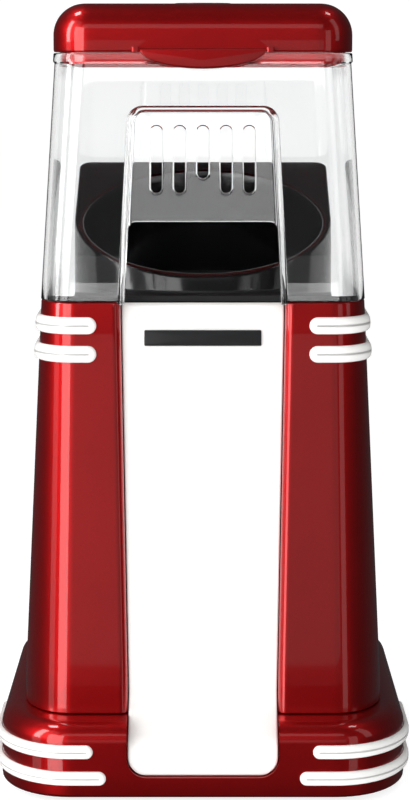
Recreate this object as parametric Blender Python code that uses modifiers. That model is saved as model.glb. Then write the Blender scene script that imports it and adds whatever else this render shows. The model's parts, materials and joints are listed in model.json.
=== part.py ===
# Hot-air popcorn maker: a clear hood with a chute on a tapered tower, which stands on a wide base.
# Sizes below are in millimetres and become metres in the scene. +Z is up and the front faces -Y.
# The origin is under the middle of the object, on the surface that it stands on.
import math

import bmesh
import bpy
from mathutils import Matrix, Vector

MM = 0.001
GAP = 0.3  # clearance between pieces that touch
WALL = 2.5  # moulded shells

# Base
BASE_HALF_WIDTH, BASE_FRONT, BASE_REAR = 78.0, -92.5, 92.7
BASE_BOTTOM, BASE_TOP, BASE_SHOULDER = 3.0, 31.0, 7.5
BASE_FRONT_CORNER, BASE_REAR_CORNER = (28.0, 40.0), (28.0, 30.0)
COVER_THICKNESS = 2.0
FOOT_PLACES = ((58, 62), (-58, 62), (-58, -58), (58, -58))
COVER_SCREW_PLACES = ((66, 20), (-66, 20), (-66, -24), (66, -24))

# Tower
TOWER_BOTTOM, TOWER_TOP = BASE_TOP + GAP, 187.0
TOWER_HALF_WIDTHS = (69.6, 62.0)  # at the bottom and at the top, as in the pairs below
TOWER_FRONTS = (-76.0, -62.0)
TOWER_REARS = (72.0, 62.0)
TOWER_FRONT_CORNERS = ((19.0, 33.0), (13.5, 17.0))
TOWER_REAR_CORNERS = ((17.0, 22.0), (11.0, 13.0))
CHANNEL_ROLL = 3.0  # rounded edge where the front turns into the channel
TOWER_SCREW_PLACES = ((60.5, 61), (-60.5, 61), (-61.5, -57), (61.5, -57))

# Slide: side view of its front surface, as (y, z) corners with a rounded bend at the two inner ones
SLIDE_CORNERS = ((-57.0, 186.5), (-72.4, 33.0), (-90.6, 23.5), (-90.6, 11.0))
SLIDE_BENDS = (12.0, 8.0)
SLIDE_HALF_WIDTHS = (31.0, 28.3)
SLIDE_THICKNESS = 2.0
STRIPE_PROUD = 2.0
SLIDE_END_RADIUS = 7.0

# Hood and its chute
HOOD_BOTTOM, HOOD_TOP, HOOD_WALL = TOWER_TOP + GAP, 280.5, 1.5
HOOD_HALF_WIDTHS, HOOD_FRONTS, HOOD_REARS = (62.0, 56.4), (-62.0, -54.6), (62.0, 56.6)
HOOD_CORNERS = ((12.0, 14.0), (13.0, 14.0))
RIM_BOTTOM, RIM_PROUD = 276.9, 0.6  # bead round the hood's upper edge
CHUTE_TOP, CHUTE_HALF_WIDTHS, CHUTE_FRONTS = 261.0, (32.2, 28.7), (-74.0, -62.0)
CHUTE_WALL, CHUTE_EDGE = 2.4, 3.0
MOUTH_TOP = 218.0
SLOT_PITCH, SLOT_WIDTH, SLOT_TOP = 8.7, 4.3, 253.5
SLOT_BOTTOMS = (228.5, 228.5, 234.0, 228.5, 228.5)

# Lid
LID_BOTTOM, LID_TOP, LID_ROUND, LID_WALL = HOOD_TOP + GAP, 299.2, 12.0, 2.0
LID_CORNER, LID_SKIRT_BOTTOM = (14.0, 15.0), 276.5
BOSS_RADIUS, BOSS_TOP = 11.0, 300.0
LIP_HALF_WIDTH, LIP_TOP, LIP_BOTTOM = 23.8, 281.8, 274.7
LEDGE_HALF_WIDTH, LEDGE_HALF_HEIGHT = 27.0, 0.75  # thin bar along the top of the lip

# Collar round the mouth of the popping chamber
DECK_MIDDLE, DECK_SLOPE = 216.1, math.tan(math.radians(21.9))
DECK_RADIUS, DECK_CORNER, DECK_SHORTER, COLLAR_WALL = 51.2, 5.0, 3.0, 1.5
MOUTH_RADII, MOUTH_CENTRE, SPIGOT_RADIUS = (47.2, 43.7), -3.5, 46.8
FLANGE_HALF, FLANGE_BOTTOM, FLANGE_TOP = 59.9, TOWER_TOP + GAP, 189.3

# Machinery inside, all of it round the vertical axis of the motor
MOTOR_RADIUS, MOTOR_BOTTOM, MOTOR_TOP = 16.0, 14.0, 49.0
SHAFT_RADIUS = 1.5
FAN_FLOOR, FAN_RADIUS, FAN_TOP = 52.0, 43.0, 78.0
IMPELLER_RADIUS, BLADE_COUNT = 36.0, 9
HEATER_BOTTOM, HEATER_TOP = FAN_TOP + GAP, 179.4
CHAMBER_FLOOR, CHAMBER_TOP = 127.0, 181.0
LOUVRE_COUNT, LOUVRE_REACH, LOUVRE_LEAN = 12, 43.0, math.radians(28)
COIL_TURNS, COIL_STEPS, COIL_RADIUS, COIL_BOTTOM, COIL_TOP = 5, 14, 32.2, 86.0, 108.0

# Rocker switch on the rear of the tower
SWITCH_HEIGHT = 62.0
SWITCH_HALF = (6.5, 9.5)

CORNER_STEPS = 6


for item in list(bpy.data.objects):
    bpy.data.objects.remove(item, do_unlink=True)

parts = bpy.data.collections.new("popcorn_maker")
cutters = bpy.data.collections.new("cutters")
cutters.hide_render = True
for made in (parts, cutters):
    bpy.context.scene.collection.children.link(made)


# Materials

def material(name, colour, roughness, metallic=0.0, alpha=1.0):
    made = bpy.data.materials.new(name)
    made.use_nodes = True
    made.diffuse_color = (*colour, alpha)
    shader = made.node_tree.nodes["Principled BSDF"]
    shader.inputs["Base Color"].default_value = (*colour, 1)
    shader.inputs["Roughness"].default_value = roughness
    shader.inputs["Metallic"].default_value = metallic
    shader.inputs["Alpha"].default_value = alpha
    return made


red = material("red_lacquer", (0.27, 0.008, 0.014), 0.22, 0.6)
white = material("white_plastic", (0.88, 0.88, 0.86), 0.25)
black = material("black_plastic", (0.015, 0.015, 0.016), 0.4)
clear = material("clear_plastic", (0.95, 0.97, 0.98), 0.05, 0.0, 0.3)
aluminium = material("aluminium", (0.7, 0.71, 0.72), 0.35, 1.0)
steel = material("steel", (0.5, 0.5, 0.5), 0.3, 1.0)
rubber = material("rubber", (0.02, 0.02, 0.02), 0.8)
mica = material("mica", (0.55, 0.45, 0.3), 0.5)
insulation = material("insulation", (0.5, 0.03, 0.02), 0.5)
board_green = material("circuit_board", (0.02, 0.18, 0.06), 0.4)


# Building blocks

def new_object(name, mesh, look):
    made = bpy.data.objects.new(name, mesh)
    if look is None:
        cutters.objects.link(made)
        made.hide_render = True
        made.display_type = "WIRE"
    else:
        parts.objects.link(made)
        mesh.materials.append(look)
        mesh.shade_smooth()
        mesh.set_sharp_from_angle(angle=math.radians(32))
    return made


def from_bmesh(name, shape, look):
    bmesh.ops.recalc_face_normals(shape, faces=shape.faces)
    bmesh.ops.scale(shape, vec=(MM, MM, MM), verts=shape.verts)
    mesh = bpy.data.meshes.new(name)
    shape.to_mesh(mesh)
    shape.free()
    return new_object(name, mesh, look)


def loft(name, loops, look=None, ring=False):
    """Skin through loops of (x, y, z) points. A ring joins up with itself; otherwise the ends are capped."""
    shape = bmesh.new()
    rows = [[shape.verts.new(point) for point in loop] for loop in loops]
    pairs = list(zip(rows, rows[1:])) + ([(rows[-1], rows[0])] if ring else [])
    for low, high in pairs:
        for i in range(len(low)):
            j = (i + 1) % len(low)
            shape.faces.new((low[i], low[j], high[j], high[i]))
    if not ring:
        shape.faces.new(rows[0])
        shape.faces.new(rows[-1])
    return from_bmesh(name, shape, look)


def box(name, centre, size, look=None, turn=None):
    shape = bmesh.new()
    bmesh.ops.create_cube(shape, size=1, matrix=Matrix.Diagonal((*size, 1)))
    if turn:
        bmesh.ops.transform(shape, matrix=turn, verts=shape.verts)
    bmesh.ops.translate(shape, vec=centre, verts=shape.verts)
    return from_bmesh(name, shape, look)


def cylinder(name, place, radius, bottom, top, look=None, segments=16):
    shape = bmesh.new()
    bmesh.ops.create_cone(shape, cap_ends=True, segments=segments, radius1=radius, radius2=radius,
                          depth=top - bottom)
    bmesh.ops.translate(shape, vec=(place[0], place[1], (top + bottom) / 2), verts=shape.verts)
    return from_bmesh(name, shape, look)


def turned(name, profile, look=None, steps=32, place=(0, 0)):
    """Closed profile of (radius, z), turned round the vertical axis through place."""
    shape = bmesh.new()
    corners = [shape.verts.new((radius * MM, 0, z * MM)) for radius, z in profile]
    for i, corner in enumerate(corners):
        shape.edges.new((corner, corners[(i + 1) % len(corners)]))
    mesh = bpy.data.meshes.new(name)
    shape.to_mesh(mesh)
    shape.free()
    made = new_object(name, mesh, look)
    made.location = (place[0] * MM, place[1] * MM, 0)
    screw = made.modifiers.new("turn", "SCREW")
    screw.steps = screw.render_steps = steps
    screw.use_merge_vertices = True
    screw.merge_threshold = 0.00001
    screw.use_smooth_shade = True
    # The profile runs top to bottom on its outer side where its signed area is positive.
    area = sum(a[0] * b[1] - b[0] * a[1] for a, b in zip(profile, profile[1:] + profile[:1]))
    screw.use_normal_flip = area > 0
    return made


def boolean(target, other, operation):
    added = target.modifiers.new(other.name, "BOOLEAN")
    added.operation = operation
    added.solver = "EXACT"
    added.object = other
    return target


def cut(target, *others):
    for other in others:
        boolean(target, other, "DIFFERENCE")


def join(target, *others):
    for other in others:
        boolean(target, other, "UNION")


def blend(pair, share):
    """Value between the two of a pair, which may be numbers or tuples."""
    if isinstance(pair[0], tuple):
        return tuple(blend(both, share) for both in zip(*pair))
    return pair[0] + (pair[1] - pair[0]) * share


def outline(half_width, front, rear, front_corner, rear_corner, inset=0.0, notch=()):
    """Rounded rectangle, counter-clockwise from its right side. notch holds points for its front edge."""
    points = []
    quarters = ((1, 1, rear_corner), (-1, 1, rear_corner), (-1, -1, front_corner), (1, -1, front_corner))
    for quarter, (side, end, (across, along)) in enumerate(quarters):
        x = side * (half_width - across)
        y = rear - along if end > 0 else front + along
        for step in range(CORNER_STEPS + 1):
            angle = math.radians(90 * (quarter + step / CORNER_STEPS))
            points.append((x + (across - inset) * math.cos(angle), y + (along - inset) * math.sin(angle)))
        if quarter == 2:
            points += notch
    return points


def at(points, z):
    return [(x, y, z) for x, y in points]


# Slide line

def fillet(before, corner, after, radius, steps=4):
    """Points of the arc that rounds a corner of a line of (y, z) points."""
    corner = Vector(corner)
    toward = [(Vector(end) - corner).normalized() for end in (before, after)]
    half_turn = toward[0].angle(toward[1]) / 2
    reach = radius / math.tan(half_turn)
    centre = corner + (toward[0] + toward[1]).normalized() * radius / math.sin(half_turn)
    start, end = (corner + way * reach - centre for way in toward)
    spread = start.angle(end)
    arc = []
    for step in range(steps + 1):
        share = step / steps
        mixed = start * math.sin((1 - share) * spread) + end * math.sin(share * spread)
        arc.append(centre + mixed / math.sin(spread))
    return arc


def slide_half_width(z):
    share = min(1.0, (TOWER_TOP - z) / (TOWER_TOP - 40))
    return blend(SLIDE_HALF_WIDTHS, share)


def slide_stations(margin, below=TOWER_TOP):
    """((y, z), half width) down the slide's front surface, with its rounded end, margin wider all round."""
    top, bend, shoulder, end = SLIDE_CORNERS
    line = [Vector(top).lerp(Vector(bend), share) for share in (0, 0.3, 0.6, 0.9)]
    line += fillet(top, bend, shoulder, SLIDE_BENDS[0]) + fillet(bend, shoulder, end, SLIDE_BENDS[1])
    stations = [(point, slide_half_width(point.y) + margin) for point in line if point.y <= below]
    radius = SLIDE_END_RADIUS + margin
    for angle in (0, 25, 50, 70, 85):
        drop = radius * (1 - math.sin(math.radians(angle)))
        narrowing = radius * (1 - math.cos(math.radians(angle)))
        stations.append((Vector((end[0], end[1] - margin + drop)), slide_half_width(0) + margin - narrowing))
    return stations


def ribbon(name, stations, lift, sink, look=None):
    """Slab along the slide, from lift in front of its surface to sink behind it."""
    loops = []
    points = [point for point, _ in stations]
    for i, (point, side) in enumerate(stations):
        along = points[min(i + 1, len(points) - 1)] - points[max(i - 1, 0)]
        outward = Vector((along.y, -along.x)).normalized()
        front, back = point + outward * lift, point - outward * sink
        loops.append([(-side, *front), (side, *front), (side, *back), (-side, *back)])
    return loft(name, loops, look)


ribbon("front_slide", slide_stations(0), 0, SLIDE_THICKNESS, white)


# Tower

def tower_section(z, inset):
    share = (z - TOWER_BOTTOM) / (TOWER_TOP - TOWER_BOTTOM)
    front = blend(TOWER_FRONTS, share)
    top, bend = SLIDE_CORNERS[:2]
    slide_front = top[0] + (bend[0] - top[0]) * (top[1] - z) / (top[1] - bend[1])
    floor = slide_front + SLIDE_THICKNESS + GAP + inset
    half = slide_half_width(z) + GAP
    left = []
    for degrees in (0, 30, 60, 90):
        angle = math.radians(degrees)
        left.append((-half - CHANNEL_ROLL + (CHANNEL_ROLL - inset) * math.sin(angle),
                     front + CHANNEL_ROLL - (CHANNEL_ROLL - inset) * math.cos(angle)))
    left.append((-half - inset, floor))
    notch = left + [(-x, y) for x, y in reversed(left)]
    return at(outline(blend(TOWER_HALF_WIDTHS, share), front, blend(TOWER_REARS, share),
                      blend(TOWER_FRONT_CORNERS, share), blend(TOWER_REAR_CORNERS, share), inset, notch), z)


levels = [blend((TOWER_BOTTOM, TOWER_TOP), share) for share in (0, 0.25, 0.5, 0.75, 1)]
tower = loft("tower_shell", [tower_section(z, 0) for z in levels]
             + [tower_section(z, WALL) for z in reversed(levels)], red, ring=True)
for place in TOWER_SCREW_PLACES:
    join(tower, cylinder("tower_boss", place, 4.5, TOWER_BOTTOM, 48, segments=12))
for place in TOWER_SCREW_PLACES:
    cut(tower, cylinder("tower_boss_hole", place, 1.9, TOWER_BOTTOM - 1, 46, segments=10))
for row in range(6):
    cut(tower, box("rear_vent", (0, 66, 96 + 7 * row), (44, 30, 3)))

REAR_SLOPE = (TOWER_REARS[0] - TOWER_REARS[1]) / (TOWER_TOP - TOWER_BOTTOM)
switch_rear = TOWER_REARS[0] - REAR_SLOPE * (SWITCH_HEIGHT - TOWER_BOTTOM)
switch_turn = Matrix.Rotation(math.atan(REAR_SLOPE), 4, "X")


def switch_point(x, out, up):
    """Point of the switch: x across, out of the tower's rear wall, up along that wall."""
    return Vector((0, switch_rear, SWITCH_HEIGHT)) + switch_turn @ Vector((x, out, up))


def switch_box(name, out_range, half_width, half_height, look=None):
    middle = sum(out_range) / 2
    size = (2 * half_width, out_range[1] - out_range[0], 2 * half_height)
    return box(name, switch_point(0, middle, 0), size, look, switch_turn)


cut(tower, switch_box("switch_opening", (-9, 9), SWITCH_HALF[0] + GAP, SWITCH_HALF[1] + GAP))


# Base

def base_section(z, inset):
    return at(outline(BASE_HALF_WIDTH, BASE_FRONT, BASE_REAR, BASE_FRONT_CORNER, BASE_REAR_CORNER, inset), z)


def opening_section(z):
    return at(outline(63, -58, 64, (14, 18), (14, 18)), z)


shoulder_angles = [math.radians(degrees) for degrees in (0, 22, 45, 67, 90)]
shoulder_start = BASE_TOP - BASE_SHOULDER
outside = [base_section(BASE_BOTTOM, 1), base_section(BASE_BOTTOM + 1, 0)]
outside += [base_section(shoulder_start + BASE_SHOULDER * math.sin(angle),
                         BASE_SHOULDER * (1 - math.cos(angle))) for angle in shoulder_angles]
under_round = BASE_SHOULDER - WALL
inside = [base_section(shoulder_start + under_round * math.sin(angle),
                       WALL + under_round * (1 - math.cos(angle))) for angle in reversed(shoulder_angles)]
inside += [base_section(BASE_BOTTOM, WALL)]
base = loft("base_shell", outside + [opening_section(BASE_TOP), opening_section(BASE_TOP - WALL)] + inside,
            red, ring=True)
join(base, ribbon("slide_backing", slide_stations(WALL, BASE_TOP - 2), 0.6, SLIDE_THICKNESS + GAP + WALL))
for place in COVER_SCREW_PLACES:
    join(base, cylinder("cover_boss", place, 4.0, BASE_BOTTOM + COVER_THICKNESS + 2 * GAP, BASE_TOP - 1,
                        segments=12))
for place in COVER_SCREW_PLACES:
    cut(base, cylinder("cover_boss_hole", place, 1.9, 0, 18, segments=10))
for place in TOWER_SCREW_PLACES:
    join(base, cylinder("tower_screw_pad", place, 6.0, BASE_TOP - 5, BASE_TOP - 0.5, segments=12))
for place in TOWER_SCREW_PLACES:
    cut(base, cylinder("tower_screw_hole", place, 1.9, 20, 40, segments=10))
cut(base, ribbon("slide_recess", slide_stations(GAP, BASE_TOP + 20), 9, SLIDE_THICKNESS + GAP))

cover_bottom = BASE_BOTTOM + GAP
cover_top = cover_bottom + COVER_THICKNESS
cover = loft("bottom_cover", [base_section(z, WALL + GAP) for z in (cover_bottom, cover_top)], black)
for row in range(7):
    cut(cover, box("intake_slot", (0, 7 * (row - 3), cover_bottom), (44 - 4 * abs(row - 3), 3.2, 9)))
for number, place in enumerate(FOOT_PLACES, 1):
    cylinder(f"foot_{number}", place, 7.0, 0, BASE_BOTTOM, rubber, 20)


def screw(name, place, head_bottom, shank_top, head_radius=3.2):
    """Screw driven upwards: its head below, its shank above."""
    head_top = head_bottom + 1.8
    turned(name, [(0, shank_top), (1.5, shank_top), (1.5, head_top), (head_radius, head_top),
                  (head_radius, head_bottom + 0.6), (head_radius - 1, head_bottom), (0, head_bottom)][::-1],
           steel, 12, place)


for number, place in enumerate(COVER_SCREW_PLACES, 1):
    cut(cover, cylinder("cover_hole", place, 1.9, 0, 10, segments=10))
    screw(f"cover_screw_{number}", place, cover_bottom - GAP - 1.8, 16)
for number, place in enumerate(TOWER_SCREW_PLACES, 1):
    screw(f"tower_screw_{number}", place, BASE_TOP - 5 - GAP - 1.8, 45)


# Stripes

def stripe_point(section, z, offset, inner_end, outer_end, travel):
    """Point on a wall near its front left corner. travel is 0 to 1 on the front, 1 to 2 round the corner,
    and 2 to 3 on the side; section gives half width, front and corner radii at a height."""
    half_width, front, (across, along) = section(z)
    corner_x, corner_y = across - half_width, front + along
    if travel <= 1:
        return (-inner_end + (corner_x + inner_end) * travel, front - offset, z)
    if travel >= 2:
        return (-half_width - offset, corner_y + (outer_end - corner_y) * (travel - 2), z)
    angle = math.radians(90 * (travel - 1))
    return (corner_x - (across + offset) * math.sin(angle), corner_y - (along + offset) * math.cos(angle), z)


def stripe(name, section, bottom, top, inner_end, outer_end, side):
    """White strip with round ends, wrapped round a front corner. side is -1 for the left one."""
    middle, radius = (bottom + top) / 2, (top - bottom) / 2
    half_width, front, (across, along) = section(middle)
    front_run, side_run = abs(across - half_width + inner_end), abs(outer_end - front - along)
    ends = [math.radians(degrees) for degrees in (20, 40, 65, 90)]
    stops = [(radius * (1 - math.cos(a)) / front_run, radius * math.sin(a)) for a in ends]
    stops += [(1 + step / CORNER_STEPS, radius) for step in range(CORNER_STEPS + 1)]
    stops += [(3 - radius * (1 - math.cos(a)) / side_run, radius * math.sin(a)) for a in reversed(ends)]
    loops = []
    for travel, reach in stops:
        corners = ((-1, GAP / 2), (1, GAP / 2), (1, STRIPE_PROUD * 0.6), (0.7, STRIPE_PROUD),
                   (-0.7, STRIPE_PROUD), (-1, STRIPE_PROUD * 0.6))
        loop = [stripe_point(section, middle + way * reach, offset, inner_end, outer_end, travel)
                for way, offset in corners]
        loops.append([(side * x, y, z) for x, y, z in loop])
    loft(name, loops, white)


def tower_corner(z):
    share = (z - TOWER_BOTTOM) / (TOWER_TOP - TOWER_BOTTOM)
    return blend(TOWER_HALF_WIDTHS, share), blend(TOWER_FRONTS, share), blend(TOWER_FRONT_CORNERS, share)


def base_corner(z):
    return BASE_HALF_WIDTH, BASE_FRONT, BASE_FRONT_CORNER


STRIPES = (
    ("upper_stripe_high", tower_corner, 175.0, 181.5, 40.3, -14),
    ("upper_stripe_low", tower_corner, 164.3, 170.7, 40.3, -14),
    ("lower_stripe_high", base_corner, 18.0, 23.3, 41.3, -20),
    ("lower_stripe_low", base_corner, 7.8, 13.2, 36.4, -20),
)
for name, section, bottom, top, inner_end, outer_end in STRIPES:
    stripe(name + "_left", section, bottom, top, inner_end, outer_end, 1)
    stripe(name + "_right", section, bottom, top, inner_end, outer_end, -1)


# Badge: a blank plate near the top of the slide, lying along it
slope = math.atan2(SLIDE_CORNERS[0][0] - SLIDE_CORNERS[1][0], SLIDE_CORNERS[0][1] - SLIDE_CORNERS[1][1])
badge_height = 173.2
badge_y = SLIDE_CORNERS[0][0] - (SLIDE_CORNERS[0][1] - badge_height) * math.tan(slope)
box("badge_plate", (0, badge_y - 0.8, badge_height), (44.5, 1.0, 6.0), black,
    Matrix.Rotation(-slope, 4, "X"))


# Hood

def hood_section(z, inset):
    share = (z - HOOD_BOTTOM) / (HOOD_TOP - HOOD_BOTTOM)
    corner = blend(HOOD_CORNERS, share)
    return at(outline(blend(HOOD_HALF_WIDTHS, share), blend(HOOD_FRONTS, share),
                      blend(HOOD_REARS, share), corner, corner, inset), z)


def chute_share(z):
    return (z - HOOD_BOTTOM) / (CHUTE_TOP - HOOD_BOTTOM)


def arch(bottom, top, inset, radius):
    """Front view (x, z) of the chute: open-bottomed trapezoid with its two upper corners rounded."""
    low = blend(CHUTE_HALF_WIDTHS, chute_share(bottom)) - inset
    high = blend(CHUTE_HALF_WIDTHS, chute_share(top)) - inset
    right = [(low, bottom)]
    for step in range(5):
        angle = math.radians(90 * step / 4)
        right.append((high - radius + radius * math.cos(angle), top - radius + radius * math.sin(angle)))
    return right + [(-x, z) for x, z in reversed(right)]


def hood_front(z):
    return blend(HOOD_FRONTS, (z - HOOD_BOTTOM) / (HOOD_TOP - HOOD_BOTTOM))


def arch_solid(name, bottom, top, inset, radius, depths, behind):
    """Solid through depths, each (set back from the chute's face, extra inset), to behind the hood's face."""
    loops = []
    for back, narrower in depths:
        loops.append([(x, blend(CHUTE_FRONTS, chute_share(z)) + back, z)
                      for x, z in arch(bottom, top, inset + narrower, radius)])
    loops.append([(x, hood_front(z) + behind, z) for x, z in arch(bottom, top, inset, radius)])
    return loft(name, loops)


hood_levels = (HOOD_BOTTOM, 235, HOOD_TOP)
hood = loft("hood", [hood_section(z, 0) for z in (HOOD_BOTTOM, 235, RIM_BOTTOM)]
            + [hood_section(z, -RIM_PROUD) for z in (RIM_BOTTOM + 0.2, HOOD_TOP)]
            + [hood_section(z, HOOD_WALL) for z in reversed(hood_levels)], clear, ring=True)
join(hood, arch_solid("chute_solid", HOOD_BOTTOM, CHUTE_TOP, 0, 6,
                      [(0, CHUTE_EDGE), (0.9, 0.9), (CHUTE_EDGE, 0)], HOOD_WALL / 2))
cut(hood, arch_solid("chute_hollow", HOOD_BOTTOM - 4, CHUTE_TOP - CHUTE_WALL, CHUTE_WALL, 4,
                     [(CHUTE_WALL, 1), (CHUTE_WALL + 1.5, 0)], HOOD_WALL + 5))
cut(hood, arch_solid("chute_mouth", HOOD_BOTTOM - 4, MOUTH_TOP, CHUTE_WALL + 0.4, 3, [(-9, 0)], -2))
for number, bottom in enumerate(SLOT_BOTTOMS):
    x = SLOT_PITCH * (number - 2)
    radius = SLOT_WIDTH / 2
    ends = ((SLOT_TOP - radius, 1), (bottom + radius, -1))
    line = []
    for middle, way in ends:
        for step in range(7):
            angle = math.radians(180 * step / 6)
            line.append((x + way * radius * math.cos(angle), middle + way * radius * math.sin(angle)))
    cut(hood, loft(f"vent_slot_{number}", [[(px, y, pz) for px, pz in line] for y in (-80, -61)]))


# Lid

def lid_section(z, inset):
    half_width, front, rear = HOOD_HALF_WIDTHS[1], HOOD_FRONTS[1], HOOD_REARS[1]
    return at(outline(half_width + RIM_PROUD, front - RIM_PROUD, rear + RIM_PROUD, LID_CORNER, LID_CORNER,
                      inset), z)


round_angles = [math.radians(degrees) for degrees in (0, 20, 40, 60, 75, 88)]
round_start = LID_TOP - LID_ROUND
lid_outside = [lid_section(LID_BOTTOM, 0.6), lid_section(LID_BOTTOM + 0.8, 0)]
lid_outside += [lid_section(round_start + LID_ROUND * math.sin(angle), LID_ROUND * (1 - math.cos(angle)))
                for angle in round_angles]
SKIRT_INSET = HOOD_WALL + RIM_PROUD + 0.5
inner_round = LID_ROUND - SKIRT_INSET - LID_WALL
inner_start = LID_TOP - LID_WALL - inner_round
lid_inside = [lid_section(LID_BOTTOM, SKIRT_INSET), lid_section(LID_SKIRT_BOTTOM, SKIRT_INSET),
              lid_section(LID_SKIRT_BOTTOM, SKIRT_INSET + LID_WALL)]
lid_inside += [lid_section(inner_start + inner_round * math.sin(angle),
                           SKIRT_INSET + LID_WALL + inner_round * (1 - math.cos(angle)))
               for angle in round_angles[::2]]
lid = loft("lid", lid_outside[::-1] + lid_inside, red)

lip_angles = [math.radians(degrees) for degrees in range(180, 361, 12)]
lip_points = [(LIP_HALF_WIDTH * math.cos(angle), LIP_TOP + (LIP_TOP - LIP_BOTTOM) * math.sin(angle))
              for angle in lip_angles]
lip_front, lip_back = HOOD_FRONTS[1] - 3.6, HOOD_FRONTS[1] - RIM_PROUD - 0.4
join(lid, loft("thumb_lip", [[(x * share, y, LIP_TOP + (z - LIP_TOP) * share) for x, z in lip_points]
                             for y, share in ((lip_back, 1), (lip_front + 0.8, 1), (lip_front, 0.93))]))
join(lid, box("ledge", (0, lip_front + 2.5, LIP_TOP), (2 * LEDGE_HALF_WIDTH, 3.4, 2 * LEDGE_HALF_HEIGHT)))
join(lid, cylinder("lid_boss", (0, 0), BOSS_RADIUS, LID_TOP - 1, BOSS_TOP, segments=24))


# Collar and popping chamber

def d_section(radius, height):
    """Round in front and square behind, seen from above; height(y) gives each point's z."""
    points = []
    rounding = DECK_CORNER - (DECK_RADIUS - radius)
    for step in range(17):
        angle = math.pi + math.pi * step / 16
        points.append((radius * math.cos(angle), radius * math.sin(angle)))
    back = radius - rounding - DECK_SHORTER
    for middle, start in (((radius - rounding, back), 0), ((rounding - radius, back), 90)):
        for step in range(5):
            angle = math.radians(start + 90 * step / 4)
            points.append((middle[0] + rounding * math.cos(angle), middle[1] + rounding * math.sin(angle)))
    return [(x, y, height(y)) for x, y in points]


def mouth_section(wider, height, radii=MOUTH_RADII, centre=MOUTH_CENTRE):
    """Oval with one point for each point of d_section, in the same directions."""
    made = []
    for x, y, _ in d_section(DECK_RADIUS, level(0)):
        angle = math.atan2(y, x)
        y = centre + (radii[1] + wider) * math.sin(angle)
        made.append(((radii[0] + wider) * math.cos(angle), y, height(y)))
    return made


def flange_section(z):
    """Rounded square with one point for each point of d_section, in the same directions."""
    made = []
    for x, y, _ in d_section(DECK_RADIUS, level(0)):
        reach = FLANGE_HALF / (abs(x) ** 10 + abs(y) ** 10) ** 0.1
        made.append((x * reach, y * reach, z))
    return made


def deck(drop=0.0):
    return lambda y: DECK_MIDDLE + DECK_SLOPE * y - drop


def level(z):
    return lambda y: z


spigot = level(CHAMBER_TOP + GAP)
circle = {"radii": (SPIGOT_RADIUS, SPIGOT_RADIUS), "centre": 0}
loft("chamber_collar", [
    mouth_section(0, spigot, **circle),
    mouth_section(0, deck(1.0)),
    mouth_section(1.0, deck()),
    d_section(DECK_RADIUS - 1.0, deck()),
    d_section(DECK_RADIUS, deck(1.0)),
    d_section(DECK_RADIUS, level(FLANGE_TOP)),
    flange_section(FLANGE_TOP),
    flange_section(FLANGE_BOTTOM),
    d_section(DECK_RADIUS - COLLAR_WALL, level(FLANGE_BOTTOM)),
    d_section(DECK_RADIUS - COLLAR_WALL, deck(COLLAR_WALL + 1.0)),
    mouth_section(COLLAR_WALL, deck(COLLAR_WALL + 1.0)),
    mouth_section(COLLAR_WALL, spigot, **circle),
], black, ring=True)

chamber = turned("popping_chamber", [
    (50.4, CHAMBER_TOP), (50.4, CHAMBER_TOP - 1.2), (47.7, CHAMBER_TOP - 1.2), (43.2, CHAMBER_FLOOR + 3),
    (40, CHAMBER_FLOOR), (33, CHAMBER_FLOOR), (3, CHAMBER_FLOOR + 7), (0, CHAMBER_FLOOR + 7),
    (0, CHAMBER_FLOOR + 8.2), (3.5, CHAMBER_FLOOR + 8.2), (33.2, CHAMBER_FLOOR + 1.2),
    (39.4, CHAMBER_FLOOR + 1.2),
    (42, CHAMBER_FLOOR + 3.6), (46.5, CHAMBER_TOP)], aluminium, 40)
for number in range(LOUVRE_COUNT):
    around = math.radians(360 / LOUVRE_COUNT * (number + 0.5))
    turn = Matrix.Rotation(around, 4, "Z") @ Matrix.Rotation(LOUVRE_LEAN, 4, "X")
    place = (LOUVRE_REACH * math.cos(around), LOUVRE_REACH * math.sin(around), CHAMBER_FLOOR + 12)
    cut(chamber, box("louvre", place, (9, 2.2, 12), None, turn))


# Heater

turned("heater_housing", [
    (41.5, HEATER_BOTTOM), (36, HEATER_BOTTOM), (36, HEATER_BOTTOM + 1), (40.5, HEATER_BOTTOM + 1),
    (40.5, 113.5), (48.5, 121.5), (48.5, HEATER_TOP), (49.5, HEATER_TOP), (49.5, 121), (41.5, 113)],
    steel, 36)
MICA_BOTTOM, MICA_TOP = HEATER_BOTTOM + 1 + GAP, 112.0
mica_height, mica_middle = MICA_TOP - MICA_BOTTOM, (MICA_TOP + MICA_BOTTOM) / 2
frame = box("mica_frame", (0, 0, mica_middle), (60, 1.2, mica_height), mica)
join(frame, box("mica_cross", (0, 0, mica_middle), (1.2, 60, mica_height)))
for turn in (0, 90):
    join(frame, box("mica_foot", (0, 0, MICA_BOTTOM + 1.2), (79.5, 1.2, 2.4), None,
                    Matrix.Rotation(math.radians(turn), 4, "Z")))
join(frame, cylinder("mica_hub", (0, 0), 4, MICA_BOTTOM, MICA_TOP - 1, segments=12))


def wire(name, points, radius, look):
    """Round wire through points, made a mesh with closed ends."""
    curve = bpy.data.curves.new(name, "CURVE")
    curve.dimensions = "3D"
    curve.bevel_depth = radius * MM
    curve.bevel_resolution = 1
    curve.use_fill_caps = True
    spline = curve.splines.new("POLY")
    spline.points.add(len(points) - 1)
    for target, point in zip(spline.points, points):
        target.co = (*(value * MM for value in point), 1)
    made = bpy.data.objects.new(name, curve)
    parts.objects.link(made)
    curve.materials.append(look)
    return made


coil = []
for step in range(COIL_TURNS * COIL_STEPS + 1):
    around = 2 * math.pi * step / COIL_STEPS
    coil.append((COIL_RADIUS * math.cos(around), COIL_RADIUS * math.sin(around),
                 blend((COIL_BOTTOM, COIL_TOP), step / (COIL_TURNS * COIL_STEPS))))
wire("heater_coil", coil, 0.8, steel)

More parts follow.
